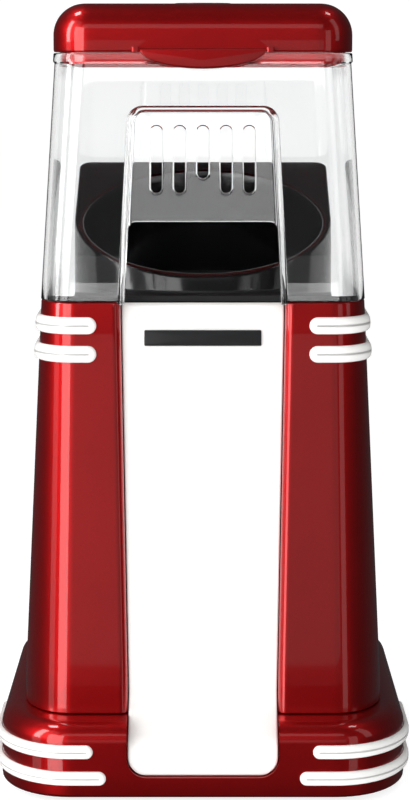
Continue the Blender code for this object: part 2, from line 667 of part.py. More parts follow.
cylinder("thermostat", (0, 53.2), 3.2, 128, 140, steel, 16)
cylinder("thermal_fuse", (12, 12), 2.0, 84, 96, aluminium, 12)


# Fan and motor

fan_floor_top = FAN_FLOOR + WALL
housing = turned("fan_housing", [
    (4, FAN_FLOOR), (4, fan_floor_top), (FAN_RADIUS - 2, fan_floor_top), (FAN_RADIUS - 2, FAN_TOP),
    (FAN_RADIUS, FAN_TOP), (FAN_RADIUS, FAN_FLOOR)], black, 36)
for number in range(6):
    around = math.radians(60 * number + 30)
    place = (25 * math.cos(around), 25 * math.sin(around))
    cut(housing, cylinder("intake_hole", place, 7, 45, 56.5, segments=14))
for x in (-30, 30):
    for y in (-22, 22):
        join(housing, cylinder("housing_leg", (x, y), 3.5, cover_top + GAP, FAN_FLOOR + 1.5, segments=12))

motor = turned("motor_can", [
    (2, MOTOR_BOTTOM), (2, MOTOR_TOP + 2), (4.5, MOTOR_TOP + 2), (4.5, MOTOR_TOP), (MOTOR_RADIUS, MOTOR_TOP),
    (MOTOR_RADIUS, MOTOR_BOTTOM)], steel, 28)
turned("motor_end_cap", [
    (2, MOTOR_BOTTOM - 5), (2, MOTOR_BOTTOM - GAP), (MOTOR_RADIUS, MOTOR_BOTTOM - GAP),
    (MOTOR_RADIUS, MOTOR_BOTTOM - 3), (5, MOTOR_BOTTOM - 3), (5, MOTOR_BOTTOM - 5)], black, 28)
MOTOR_SCREW_X = 9.0
for number, x in enumerate((-MOTOR_SCREW_X, MOTOR_SCREW_X), 1):
    cut(motor, cylinder("motor_screw_hole", (x, 0), 1.8, 42, 60, segments=10))
    cut(housing, cylinder("floor_screw_hole", (x, 0), 1.8, 45, 60, segments=10))
    head = fan_floor_top + GAP
    turned(f"motor_screw_{number}", [(0, 44), (1.5, 44), (1.5, head), (3, head), (3, head + 1.6),
                                     (0, head + 1.6)], steel, 12, (x, 0))
turned("motor_shaft", [(0, 9.5), (SHAFT_RADIUS, 9.5), (SHAFT_RADIUS, 71), (0, 71)], steel, 12)

BACKPLATE = 58.5
impeller = turned("fan_impeller", [
    (SHAFT_RADIUS + 0.15, BACKPLATE), (SHAFT_RADIUS + 0.15, 70), (5, 70), (7, BACKPLATE + 1.5),
    (IMPELLER_RADIUS, BACKPLATE + 1.5), (IMPELLER_RADIUS, BACKPLATE)], aluminium, 32)
for number in range(BLADE_COUNT):
    around = 2 * math.pi * number / BLADE_COUNT
    turn = Matrix.Rotation(around, 4, "Z") @ Matrix.Translation((24, 0, 0)) @ Matrix.Rotation(0.5, 4, "Z")
    join(impeller, box(f"blade_{number}", (0, 0, BACKPLATE + 6.5), (22, 1.2, 11.5), None, turn))


# Electrical pieces

board = box("rectifier_board", (0, 50, 17), (30, 1.6, 22), board_green)
for x in (-9, -3, 3, 9):
    join(board, box("diode", (x, 52, 18), (3, 3.2, 8)))
box("terminal_block", (38, 50, 10.8), (22, 11, 10), white)

bush_radius, bush_height, rear_inner = 4.2, 15.0, BASE_REAR - WALL
profile = [(2.6, rear_inner - 2), (6, rear_inner - 2), (6, rear_inner - GAP), (bush_radius, rear_inner - GAP),
           (bush_radius, BASE_REAR + GAP), (6, BASE_REAR + GAP), (6, BASE_REAR + 1.8), (2.6, BASE_REAR + 1.8)]


def rear_ring(radius, y):
    """Circle round the cord's way out, which runs front to back."""
    return [(radius * math.cos(a), y, bush_height + radius * math.sin(a))
            for a in (math.radians(18 * step) for step in range(20))]


loft("cord_bush", [rear_ring(radius, y) for radius, y in profile], rubber, ring=True)
cut(base, loft("bush_hole", [rear_ring(bush_radius + GAP, y) for y in (80, 100)]))

switch = switch_box("switch_body", (-12, -GAP), SWITCH_HALF[0], SWITCH_HALF[1], black)
join(switch, switch_box("switch_bezel", (GAP, 2.0), SWITCH_HALF[0] + 1.4, SWITCH_HALF[1] + 1.4),
     switch_box("switch_neck", (-1, 1), SWITCH_HALF[0], SWITCH_HALF[1]))
cut(switch, switch_box("switch_well", (-6, 5), 5.9, 8.4))
PIVOT_OUT = -0.6
rocker_side = [(-7.6, 3.0), (0, 1.4), (7.6, 3.0), (7.6, -0.6), (3, -4), (-3, -4), (-7.6, -0.6)]
OFF_TILT = math.radians(8)
rocker_loops = []
for x in (-5.6, 5.6):
    loop = []
    for up, out in rocker_side:
        turned_up = up * math.cos(OFF_TILT) - out * math.sin(OFF_TILT)
        turned_out = up * math.sin(OFF_TILT) + out * math.cos(OFF_TILT)
        loop.append(tuple(switch_point(x, PIVOT_OUT + turned_out, turned_up)))
    rocker_loops.append(loop)
rocker = loft("switch_rocker", rocker_loops, red)


# Leads between the electrical pieces

def smooth(points, steps=4):
    """Catmull-Rom curve through points."""
    points = [Vector(point) for point in points]
    line = [points[0]]
    for i in range(len(points) - 1):
        before, start = points[max(i - 1, 0)], points[i]
        end, after = points[i + 1], points[min(i + 2, len(points) - 1)]
        for step in range(1, steps + 1):
            t = step / steps
            square = 2 * before - 5 * start + 4 * end - after
            cube = 3 * start - before - 3 * end + after
            line.append(0.5 * (2 * start + (end - before) * t + square * t ** 2 + cube * t ** 3))
    return line


LEADS = {
    "supply_lead": ((0, 86.6, 15), (10, 78, 12), (28, 66, 9), (38, 56.4, 11)),
    "switch_lead": ((38, 50, 16.4), (40, 52, 30), (26, 55, 46), (3, 56.2, 59)),
    "thermostat_lead": ((-3, 56.2, 65), (-8, 51, 80), (-8, 51, 104), (0, 53.2, 127.4)),
    "motor_lead": ((-8, 50, 29.4), (-12, 42, 36), (-17, 26, 30), (-12.4, 13.4, 12)),
}
for name, points in LEADS.items():
    wire(name, smooth(points), 1.2, insulation)


# Moving pieces have their origins on their joints' axes
def set_origin(made, point):
    offset = Vector(point) * MM
    made.data.transform(Matrix.Translation(-offset))
    made.location = offset


set_origin(rocker, switch_point(0, PIVOT_OUT, 0))
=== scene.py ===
# Hot-air popcorn maker: the looks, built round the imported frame.
# Sizes are in millimetres and become metres in the mesh. +Z is up and the front faces -Y.
import json
import math

import bmesh
import bpy
import numpy as np
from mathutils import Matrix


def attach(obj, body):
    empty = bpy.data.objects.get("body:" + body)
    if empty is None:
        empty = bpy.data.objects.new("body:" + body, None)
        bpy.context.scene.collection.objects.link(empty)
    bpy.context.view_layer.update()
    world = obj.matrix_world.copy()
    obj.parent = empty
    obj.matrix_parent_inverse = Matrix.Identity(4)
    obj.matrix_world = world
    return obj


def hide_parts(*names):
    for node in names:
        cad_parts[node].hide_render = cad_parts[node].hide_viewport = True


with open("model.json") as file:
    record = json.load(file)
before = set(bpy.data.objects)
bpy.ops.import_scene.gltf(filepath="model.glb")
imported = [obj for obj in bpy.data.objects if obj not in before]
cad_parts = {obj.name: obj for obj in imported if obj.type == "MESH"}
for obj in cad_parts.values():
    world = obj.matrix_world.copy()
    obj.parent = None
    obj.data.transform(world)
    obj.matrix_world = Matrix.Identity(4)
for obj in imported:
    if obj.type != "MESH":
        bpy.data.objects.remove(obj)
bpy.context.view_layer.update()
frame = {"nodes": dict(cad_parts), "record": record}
nodes = frame["nodes"]
scene = bpy.context.scene
mm = 0.001
gap = 0.3  # between pieces that touch
wall = 2.5  # moulded shells
cornerSteps = 14
sharpAngle = math.radians(34)
print("frame loaded:", len(nodes), "nodes")


# Materials

def linear(colour):
    # sRGB to linear: (c + 0.055) / 1.055 to the power 2.4, or c / 12.92 where it is very dark
    parts = [int(colour[i:i + 2], 16) / 255 for i in (1, 3, 5)]
    return [c / 12.92 if c <= 0.04045 else ((c + 0.055) / 1.055) ** 2.4 for c in parts] + [1.0]


def addNode(tree, kind, inputs=None, **settings):
    # inputs go by socket name or number; a value that is itself a socket becomes a link
    made = tree.nodes.new(kind)
    for name, value in settings.items():
        setattr(made, name, value)
    for name, value in (inputs or {}).items():
        if isinstance(value, bpy.types.NodeSocket):
            tree.links.new(value, made.inputs[name])
        else:
            made.inputs[name].default_value = value
    return made


def finish(name, look):
    # Two noises on Object coordinates: a slow one drifts the colour, a fine one is the grain in the roughness
    # and the bump. Sizes are in millimetres, stretch scales them per axis, and depth is the grain's height.
    made = bpy.data.materials.new(name)
    made.use_nodes = True
    tree = made.node_tree
    shader = tree.nodes["Principled BSDF"]
    coords = addNode(tree, "ShaderNodeTexCoord").outputs["Object"]
    coords = addNode(tree, "ShaderNodeMapping", {"Vector": coords, "Scale": look.get("stretch", (1, 1, 1))})
    coords = coords.outputs["Vector"]
    drift, grain = (addNode(tree, "ShaderNodeTexNoise", {"Vector": coords, "Scale": 1 / (size * mm),
                                                         "Detail": detail}).outputs["Fac"]
                    for size, detail in ((look["driftSize"], 3.0), (look["grainSize"], 2.0)))
    middle = {"From Min": 0.3, "From Max": 0.7}  # where nearly all of a noise's values lie
    share = addNode(tree, "ShaderNodeMapRange", {"Value": drift, **middle}).outputs["Result"]
    colours = {6: linear(look["colour"]), 7: linear(look["colourTwo"])}
    colour = addNode(tree, "ShaderNodeMix", {0: share, **colours}, data_type="RGBA").outputs[2]
    if "fleck" in look:  # small cells, each a little lighter or darker than the rest
        size, strength = look["fleck"]
        cells = addNode(tree, "ShaderNodeTexVoronoi", {"Vector": coords, "Scale": 1 / (size * mm)})
        tone = addNode(tree, "ShaderNodeSeparateColor", {"Color": cells.outputs["Color"]}).outputs["Red"]
        span = {"To Min": 1 - strength, "To Max": 1 + strength}
        tone = addNode(tree, "ShaderNodeMapRange", {"Value": tone, **span})
        colour = addNode(tree, "ShaderNodeMix", {0: 1.0, 6: colour, 7: tone.outputs["Result"]},
                         data_type="RGBA", blend_type="MULTIPLY").outputs[2]
    tree.links.new(colour, shader.inputs["Base Color"])
    low, high = look["roughness"]
    rough = addNode(tree, "ShaderNodeMapRange", {"Value": grain, "To Min": low, "To Max": high, **middle})
    rough = rough.outputs["Result"]
    if "mattBelow" in look:  # the roughness changes to the second value below that height in metres
        height, matt = look["mattBelow"]
        up = addNode(tree, "ShaderNodeSeparateXYZ", {"Vector": coords}).outputs["Z"]
        blend = {"From Min": height - 0.2 * mm, "From Max": height}
        above = addNode(tree, "ShaderNodeMapRange", {"Value": up, **blend})
        rough = addNode(tree, "ShaderNodeMix", {0: above.outputs["Result"], 2: matt, 3: rough}).outputs[0]
    tree.links.new(rough, shader.inputs["Roughness"])
    bump = addNode(tree, "ShaderNodeBump", {"Height": grain, "Strength": look.get("bump", 0.5),
                                            "Distance": look["depth"] * mm})
    tree.links.new(bump.outputs["Normal"], shader.inputs["Normal"])
    for socket, value in look.get("shader", {}).items():
        shader.inputs[socket].default_value = value
    return made


finishes = {
    # Candy lacquer over moulded plastic: aluminium flake under a tinted clear coat, with sharp highlights
    "red_lacquer": finish("candyLacquer", {
        "colour": "#bb1114", "colourTwo": "#c31518", "driftSize": 40, "grainSize": 1.4, "depth": 0.003,
        "roughness": (0.4, 0.46), "fleck": (0.45, 0.03),
        "shader": {"Metallic": 0.96, "Coat Weight": 1.0, "Coat Roughness": 0.03, "Coat IOR": 1.5}}),
    # ABS from a polished mould: even white, soft gloss
    "white_plastic": finish("whiteAbs", {
        "colour": "#f4f3f0", "colourTwo": "#f7f6f4", "driftSize": 30, "grainSize": 1.1, "depth": 0.006,
        "roughness": (0.2, 0.27), "shader": {"IOR": 1.53}}),
    # Glass-filled nylon, which takes the heat: near black, glossy with a faint orange peel
    "black_plastic": finish("blackNylon", {
        "colour": "#121213", "colourTwo": "#18181a", "driftSize": 20, "grainSize": 1.8, "depth": 0.012,
        "roughness": (0.3, 0.4), "shader": {"IOR": 1.53}}),
    # The same nylon from a polished mould, with a textured flange below the height mattBelow
    "gloss_nylon": finish("polishedNylon", {
        "colour": "#0d0d0e", "colourTwo": "#121213", "driftSize": 20, "grainSize": 3.0, "depth": 0.004,
        "roughness": (0.1, 0.16), "mattBelow": (0.1905, 0.65), "shader": {"IOR": 1.53}}),
    # Polycarbonate from a polished mould: clear, with a trace of haze
    "clear_plastic": finish("clearPolycarbonate", {
        "colour": "#fbfcfc", "colourTwo": "#fdfdfd", "driftSize": 25, "grainSize": 3.0, "depth": 0.002,
        "roughness": (0.01, 0.03), "bump": 0.2, "shader": {"IOR": 1.585, "Transmission Weight": 1.0}}),
    # Spun aluminium: the rings are too fine to show, so the grain is drawn flat and 6 mm long
    "aluminium": finish("spunAluminium", {
        "colour": "#c3c5c8", "colourTwo": "#b4b6b9", "driftSize": 12, "grainSize": 1.2, "depth": 0.02,
        "stretch": (0.2, 0.2, 1.6), "roughness": (0.28, 0.4), "shader": {"Metallic": 1.0}}),
    # Zinc-plated steel: cool grey with faint clouding
    "steel": finish("zincSteel", {
        "colour": "#a9acb0", "colourTwo": "#93969b", "driftSize": 8, "grainSize": 0.6, "depth": 0.01,
        "roughness": (0.25, 0.38), "shader": {"Metallic": 1.0}}),
    # Moulded rubber: dull black with a fine tooth
    "rubber": finish("mouldedRubber", {
        "colour": "#1b1b1c", "colourTwo": "#242425", "driftSize": 6, "grainSize": 0.5, "depth": 0.05,
        "roughness": (0.7, 0.85), "shader": {"IOR": 1.52}}),
    # Laminated mica: brassy, with glittering scales about 2 mm wide
    "mica": finish("micaSheet", {
        "colour": "#b49a6c", "colourTwo": "#8f7548", "driftSize": 7, "grainSize": 1.0, "depth": 0.02,
        "roughness": (0.3, 0.5), "fleck": (2.0, 0.15), "shader": {"IOR": 1.58}}),
    # Silicone sleeve: soft red, matt
    "insulation": finish("siliconeSleeve", {
        "colour": "#8f1a16", "colourTwo": "#9c221c", "driftSize": 9, "grainSize": 0.6, "depth": 0.015,
        "roughness": (0.45, 0.6), "shader": {"IOR": 1.43}}),
    # Solder mask on glass epoxy: translucent green over a woven board, thread spacing drawn at 1 mm
    "circuit_board": finish("solderMask", {
        "colour": "#155c2c", "colourTwo": "#1d6a35", "driftSize": 5, "grainSize": 1.0, "depth": 0.01,
        "roughness": (0.25, 0.4), "shader": {"IOR": 1.52, "Coat Weight": 0.3}}),
}
for part in frame["record"]["subparts"]:
    for held in nodes[part["node"]].material_slots:
        held.material = finishes[part["material_slot"]]
print("finishes made:", len(finishes))


# Surfaces

def gridFaces(rows, columns):
    # one quad for each cell of the grid; the last column joins the first
    i, j = np.meshgrid(np.arange(rows - 1), np.arange(columns), indexing="ij")
    right = (j + 1) % columns
    quads = [i * columns + j, i * columns + right, (i + 1) * columns + right, (i + 1) * columns + j]
    return np.stack(quads, -1).reshape(-1, 4)


def skin(name, points, ring=False):
    # points is rows x columns x 3. A ring ends on its first row; otherwise each end closes on its middle.
    if ring:
        points = np.concatenate([points, points[:1]])
    else:
        ends = [np.broadcast_to(row.mean(0), row.shape)[None] for row in (points[0], points[-1])]
        points = np.concatenate([ends[0], points, ends[1]])
    faces = gridFaces(*points.shape[:2])
    mesh = bpy.data.meshes.new(name)
    mesh.from_pydata((points.reshape(-1, 3) * mm).tolist(), [], faces.tolist())
    made = bpy.data.objects.new(name, mesh)
    scene.collection.objects.link(made)
    tidyMesh(made)
    return made


def tidyMesh(made):
    # doubles merged, empty faces dissolved, faces turned outwards
    shape = bmesh.new()
    shape.from_mesh(made.data)
    bmesh.ops.remove_doubles(shape, verts=shape.verts, dist=0.002 * mm)
    bmesh.ops.dissolve_degenerate(shape, edges=shape.edges, dist=0.001 * mm)
    bmesh.ops.recalc_face_normals(shape, faces=shape.faces)
    shape.to_mesh(made.data)
    shape.free()


def carve(target, cutters, operation="DIFFERENCE"):
    for cutter in cutters:
        step = target.modifiers.new(cutter.name, "BOOLEAN")
        step.operation, step.solver, step.object = operation, "EXACT", cutter
    applyAll(target)
    for cutter in cutters:
        bpy.data.objects.remove(cutter)
    return target


def applyAll(target):
    bpy.context.view_layer.update()
    final = target.evaluated_get(bpy.context.evaluated_depsgraph_get())
    target.data = bpy.data.meshes.new_from_object(final)
    target.modifiers.clear()


def place(piece, body, slot, *replaced, look=None):
    piece.data.materials.clear()
    piece.data.materials.append(finishes[look or slot])
    piece.data.shade_smooth()
    piece.data.set_sharp_from_angle(angle=sharpAngle)
    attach(piece, body)
    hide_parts(*replaced)
    return piece


def roundLine(corners, radii, closed=False, spacing=None, steps=6):
    # A line of straight runs whose corners are arcs: each arc runs between the two points where a circle of
    # the corner's radius touches the runs. Points are then added so that no run is longer than spacing.
    corners = np.array(corners, float)
    radii = np.array(radii, float)[:, None]
    before, after = (np.roll(corners, way, 0) - corners for way in (1, -1))
    if not closed:
        before[0], after[-1] = -after[0], -before[-1]
    before, after = (way / np.linalg.norm(way, axis=1, keepdims=True) for way in (before, after))
    half = np.arccos(np.clip((before * after).sum(1, keepdims=True), -0.99999999, 1)) / 2
    middle = before + after
    middle = middle / np.maximum(np.linalg.norm(middle, axis=1, keepdims=True), 1e-9)
    centre = corners + middle * radii / np.sin(half)
    start, end = (corners + way * radii / np.tan(half) - centre for way in (before, after))
    t = np.linspace(0, 1, steps + 1)[None, :, None]
    spread = np.maximum(math.pi - 2 * half, 1e-6)[:, None]
    arcs = (start[:, None] * np.sin((1 - t) * spread) + end[:, None] * np.sin(t * spread)) / np.sin(spread)
    line = (arcs + centre[:, None]).reshape(-1, 2)
    if closed:
        line = np.concatenate([line, line[:1]])
    step = np.linalg.norm(np.diff(line, axis=0), axis=1)
    line = line[np.concatenate([[True], step > 1e-5])]
    if spacing:
        length = np.concatenate([[0], np.cumsum(np.linalg.norm(np.diff(line, axis=0), axis=1))])
        stops = np.arange(0, length[-1], spacing)
        stops = stops[np.abs(stops[:, None] - length[None]).min(1) > spacing * 0.2]
        stops = np.sort(np.concatenate([length, stops]))
        line = np.stack([np.interp(stops, length, line[:, k]) for k in (0, 1)], 1)
    return line[:-1] if closed else line


def column(values):
    return np.atleast_1d(np.asarray(values, float))[:, None]


def between(pair, share):
    # straight-line blend of two numbers, or of two pairs of numbers
    if isinstance(pair[0], tuple):
        return tuple(between(both, share) for both in zip(*pair))
    return pair[0] + (pair[1] - pair[0]) * share


def quarterRound(inset, z, radius, turn):
    # (inset, z) up a rounded shoulder: inset + radius * (1 - cos a), z + radius * sin a
    return np.stack([inset + radius * (1 - np.cos(turn)), z + radius * np.sin(turn)], 1)


def turnX(angle):
    cos, sin = math.cos(angle), math.sin(angle)
    return np.array([[1, 0, 0], [0, cos, -sin], [0, sin, cos]])


def outline(halfWidth, front, rear, frontCorner, rearCorner, inset=0.0, notch=None, runs=8):
    # Rounded rectangle from above, counter-clockwise from its right side, one row for each level. A corner is
    # a quarter ellipse, (radius - inset) * (cos, sin) round its centre, and a straight run's points crowd
    # towards its ends as (1 - cos) / 2. notch holds points that stand in the middle of the front run.
    halfWidth, front, rear, inset = (column(v) for v in (halfWidth, front, rear, inset))
    turn = np.linspace(0, math.pi / 2, cornerSteps + 1)[None]
    quarters = ((1, 1, rearCorner), (-1, 1, rearCorner), (-1, -1, frontCorner), (1, -1, frontCorner))
    arcs = []
    for quarter, (side, end, corner) in enumerate(quarters):
        across, along = (column(v) for v in corner)
        middleX = side * (halfWidth - across)
        middleY = rear - along if end > 0 else front + along
        angle = turn + quarter * math.pi / 2
        x = middleX + (across - inset) * np.cos(angle)
        y = middleY + (along - inset) * np.sin(angle)
        arcs.append(np.stack(np.broadcast_arrays(x, y), -1))
    rows = max(arc.shape[0] for arc in arcs)
    arcs = [np.broadcast_to(arc, (rows,) + arc.shape[1:]) for arc in arcs]
    ease = (1 - np.cos(math.pi * np.arange(1, runs) / runs))[None, :, None] / 2

    def run(start, end):
        return start[:, None] + (end - start)[:, None] * ease

    pieces = []
    for quarter, arc in enumerate(arcs):
        following = arcs[(quarter + 1) % 4]
        pieces.append(arc)
        if quarter == 2 and notch is not None:
            pieces += [run(arc[:, -1], notch[:, 0]), notch, run(notch[:, -1], following[:, 0])]
        else:
            pieces.append(run(arc[:, -1], following[:, 0]))
    return np.concatenate(pieces, 1)


def atLevel(flat, z):
    # z is one number, or one for each row, or one for each point
    z = np.asarray(z, float)
    z = z[:, None] if z.ndim == 1 else z
    return np.concatenate([flat, np.broadcast_to(z, flat.shape[:2])[..., None]], -1)


def turned(name, profile, centre=(0, 0), steps=64):
    # a closed profile of (radius, z) carried round the vertical axis through centre: r cos a, r sin a, z
    angle = np.linspace(0, 2 * math.pi, steps, endpoint=False)[None]
    radius, z = profile[:, :1], profile[:, 1:]
    x, y = centre[0] + radius * np.cos(angle), centre[1] + radius * np.sin(angle)
    return skin(name, np.stack(np.broadcast_arrays(x, y, z), -1), ring=True)


def block(name, centre, size, radius=0.0, turn=None):
    # rounded bar: a rounded rectangle in x and y carried up z, turned about its own centre
    half = np.array(size) / 2
    radius = max(radius, 0.01)
    flat = outline(half[0], -half[1], half[1], (radius, radius), (radius, radius), runs=2)
    points = atLevel(np.repeat(flat, 2, 0), np.array([-half[2], half[2]]))
    if turn is not None:
        points = points @ np.array(turn).T
    return skin(name, points + np.array(centre))


# Slide

slide = {"corners": ((-57.0, 186.5), (-72.4, 33.0), (-90.6, 23.5), (-90.6, 11.0)), "bends": (0, 12, 8, 0),
         "halfWidths": (31.0, 28.3), "straightBelow": 40.0, "thickness": 2.0, "endRadius": 7.0, "edge": 0.85,
         "softEnd": 0.8}
tower = {"bottom": 31.3, "top": 187.0, "halfWidths": (69.6, 62.0), "fronts": (-76.0, -62.0),
         "rears": (72.0, 62.0), "frontCorners": ((19.0, 33.0), (13.5, 17.0)),
         "rearCorners": ((17.0, 22.0), (11.0, 13.0)), "roll": 3.0, "channelFillet": 0.8,
         "vents": 6, "ventPitch": 7.0, "ventFirst": 96.0, "ventSize": (44, 3, 30), "ventRound": 1.45}


def slideHalfWidth(z):
    share = np.minimum(1.0, (tower["top"] - z) / (tower["top"] - slide["straightBelow"]))
    return between(slide["halfWidths"], share)


def slideLine(margin, below=1000.0):
    # The side view as points with outward normals, and half widths. Near the lower end the half width shrinks
    # on a circle: end radius - sqrt(end radius squared - (end radius - distance from the end) squared).
    corners = np.array(slide["corners"])
    corners[-1, 1] -= margin
    line = roundLine(corners, slide["bends"], spacing=6.0, steps=12)
    radius = slide["endRadius"] + margin
    fine = corners[-1, 1] + radius * (1 - np.cos(np.linspace(0, math.pi / 2, 12)))
    line = line[(line[:, 1] > fine[-1] + 0.3) & (line[:, 1] <= below)]
    line = np.concatenate([line, np.stack([np.full(12, corners[-1, 0]), fine[::-1]], 1)])
    along = np.gradient(line, axis=0)
    along /= np.linalg.norm(along, axis=1, keepdims=True)
    outward = np.stack([along[:, 1], -along[:, 0]], 1)
    fromEnd = line[:, 1] - corners[-1, 1]
    short = np.maximum(radius - fromEnd, 0)
    half = slideHalfWidth(line[:, 1]) + margin - (radius - np.sqrt(np.maximum(radius ** 2 - short ** 2, 0)))
    return line, outward, half, fromEnd


def slideSlab(name, margin, lift, sink, edge, below=1000.0, softEnd=0.0):
    # A rounded bar section carried down the slide line: x across, depth behind the line's front surface.
    line, outward, half, fromEnd = slideLine(margin, below)
    if softEnd:  # the front surface drops away on a quarter circle at the lower and upper ends
        fromTop = line[0, 1] - line[:, 1]
        short = np.maximum(softEnd - np.minimum(fromEnd, fromTop), 0)
        drop = softEnd - np.sqrt(np.maximum(softEnd ** 2 - short ** 2, 0))
    else:
        drop = 0.0
    section = outline(half, -lift + drop, np.full_like(half, sink), (edge, edge), (0.3, 0.3), runs=6)
    across, depth = section[..., 0], section[..., 1]
    points = np.stack([across, line[:, None, 0] - outward[:, None, 0] * depth,
                       line[:, None, 1] - outward[:, None, 1] * depth], -1)
    return skin(name, points)


place(slideSlab("frontSlide", 0.0, 0.0, slide["thickness"], slide["edge"], softEnd=slide["softEnd"]),
      "base", "white_plastic", "front_slide")
print("slide made")


# Tower

def towerShare(z):
    return (z - tower["bottom"]) / (tower["top"] - tower["bottom"])


def towerRows(profile):
    # The tower's outline at each (inset, z) of a profile. Its front run turns into the channel on a roll,
    # goes down the channel's wall and turns on a small fillet into the channel's floor.
    inset, z = profile[:, :1], profile[:, 1:]
    share = towerShare(z[:, 0])
    front = column(between(tower["fronts"], share))
    top, bend = slide["corners"][:2]
    slideFront = top[0] + (bend[0] - top[0]) * (top[1] - z) / (top[1] - bend[1])
    floor = slideFront + slide["thickness"] + gap
    half = slideHalfWidth(z) + gap
    turn = np.linspace(0, math.pi / 2, 9)[None]
    roll, fillet = tower["roll"] - inset, tower["channelFillet"] + inset
    rollX = -half - tower["roll"] + roll * np.sin(turn)
    rollY = front + tower["roll"] - roll * np.cos(turn)
    filletX = -half + tower["channelFillet"] - fillet * np.cos(turn)
    filletY = floor - tower["channelFillet"] + fillet * np.sin(turn)
    left = np.stack([np.concatenate([rollX, filletX], 1), np.concatenate([rollY, filletY], 1)], -1)
    notch = np.concatenate([left, left[:, ::-1] * np.array([-1, 1])], 1)
    corners = (between(tower[key], share) for key in ("frontCorners", "rearCorners"))
    flat = outline(between(tower["halfWidths"], share), front[:, 0], between(tower["rears"], share),
                   *corners, inset[:, 0], notch)
    return atLevel(flat, z[:, 0])


profile = roundLine(((0, tower["bottom"]), (0, tower["top"]), (wall, tower["top"]), (wall, tower["bottom"])),
                    (0.5, 0.7, 0.4, 0.3), closed=True, spacing=16, steps=4)
towerPiece = skin("towerShell", towerRows(profile), ring=True)

switch = {"height": 62.0, "half": (6.5, 9.5), "corner": 0.8, "neck": (-1.0, 1.0), "can": (-12.0, -gap),
          "bezelReach": 1.4, "bezel": (0.3, 2.0), "bezelCorner": 1.6, "bezelEdge": 0.6,
          "wellHalf": (5.9, 8.4), "well": (-6.0, 5.0), "wellCorner": 0.5}
rearSlope = (tower["rears"][0] - tower["rears"][1]) / (tower["top"] - tower["bottom"])
switchRear = tower["rears"][0] - rearSlope * (switch["height"] - tower["bottom"])


def onSwitch(points):
    # x, then out of the tower's rear wall, then up along it
    return points @ turnX(math.atan(rearSlope)).T + np.array([0, switchRear, switch["height"]])


def switchBar(name, outRange, halfWidth, halfHeight, corner, edge=0.0):
    # Rounded rectangle in x and up, carried outwards. Its outer edge is rounded by edge on a quarter circle.
    turn = np.linspace(0.2, math.pi / 2, 6)
    out = np.concatenate([[outRange[0], outRange[1] - edge], outRange[1] - edge + edge * np.sin(turn)])
    inset = np.concatenate([[0, 0], edge * (1 - np.cos(turn))])
    flat = outline(halfWidth - inset, -halfHeight + inset, halfHeight - inset, (corner,) * 2, (corner,) * 2,
                   runs=3)
    points = np.stack([flat[..., 0], np.broadcast_to(out[:, None], flat.shape[:2]), flat[..., 1]], -1)
    return skin(name, onSwitch(points))


cutters = []
for row in range(tower["vents"]):
    z = tower["ventFirst"] + tower["ventPitch"] * row
    cutters.append(block("ventCut", (0, 66, z), tower["ventSize"], tower["ventRound"],
                         ((1, 0, 0), (0, 0, 1), (0, 1, 0))))  # y and z change places
cutters.append(switchBar("switchCut", (-9, 9), *(half + gap for half in switch["half"]), 1.0))
carve(towerPiece, cutters)
place(towerPiece, "base", "red_lacquer", "tower_shell")
print("tower made")


# Base

base = {"halfWidth": 78.0, "front": -92.5, "rear": 92.7, "bottom": 3.0, "top": 31.0, "shoulder": 7.5,
        "frontCorner": (28.0, 40.0), "rearCorner": (28.0, 30.0),
        "opening": (63.0, -58.0, 64.0, (14.0, 18.0), (14.0, 18.0))}


def baseRows(profile):
    flat = outline(base["halfWidth"], base["front"], base["rear"], base["frontCorner"], base["rearCorner"],
                   profile[:, 0], runs=14)
    return atLevel(flat, profile[:, 1])


shoulderTurn = np.linspace(0, math.pi / 2, 15)
shoulderStart = base["top"] - base["shoulder"]
lowerEdge = ((1.0, 0), (0.45, 0.15), (0.12, 0.5), (0, 1.2), (0, 9.0))
outside = np.concatenate([[[inset, base["bottom"] + rise] for inset, rise in lowerEdge],
                          quarterRound(0, shoulderStart, base["shoulder"], shoulderTurn)])
inside = np.concatenate([quarterRound(wall, shoulderStart, base["shoulder"] - wall, shoulderTurn)[::-1],
                         [[wall, base["bottom"]]]])
opening = outline(*base["opening"], runs=14)
openingRows = atLevel(np.repeat(opening, 2, 0), np.array([base["top"], base["top"] - wall]))
outsideRows, insideRows = baseRows(outside), baseRows(inside)
share = np.array([0.02, 0.2, 0.6])[:, None, None]
topRows = outsideRows[-1:] * (1 - share) + openingRows[:1] * share
basePiece = skin("baseShell", np.concatenate([outsideRows, topRows, openingRows, insideRows]), ring=True)
recessDepth = slide["thickness"] + gap
backing = slideSlab("slideBacking", wall, 0.6, recessDepth + wall, 0.3, below=base["top"] - 2)
carve(basePiece, [backing], "UNION")
recess = slideSlab("slideRecess", gap, 9.0, recessDepth, 0.3, below=base["top"] + 20)
bush = {"z": 15.0, "bore": 2.6, "neck": 4.2, "flange": 6.0, "behind": 2.0, "proud": 1.8}


def onBush(radius, y):
    # circles round an axis that runs front to back
    radius, y = column(radius), column(y)
    turn = np.linspace(0, 2 * math.pi, 40, endpoint=False)[None]
    return np.stack(np.broadcast_arrays(radius * np.cos(turn), y, bush["z"] + radius * np.sin(turn)), -1)


carve(basePiece, [recess, skin("bushCut", onBush([bush["neck"] + gap] * 2, [80, 100]))])
place(basePiece, "base", "red_lacquer", "base_shell")
print("base made")


# Stripes

stripes = {"proud": 2.0, "back": 0.15, "dome": 2.6, "rings": 9, "endSteps": 14}


def towerCorner(z):
    share = towerShare(z)
    return tuple(between(tower[key], share) for key in ("halfWidths", "fronts", "frontCorners"))


def baseCorner(z):
    return base["halfWidth"], base["front"], base["frontCorner"]


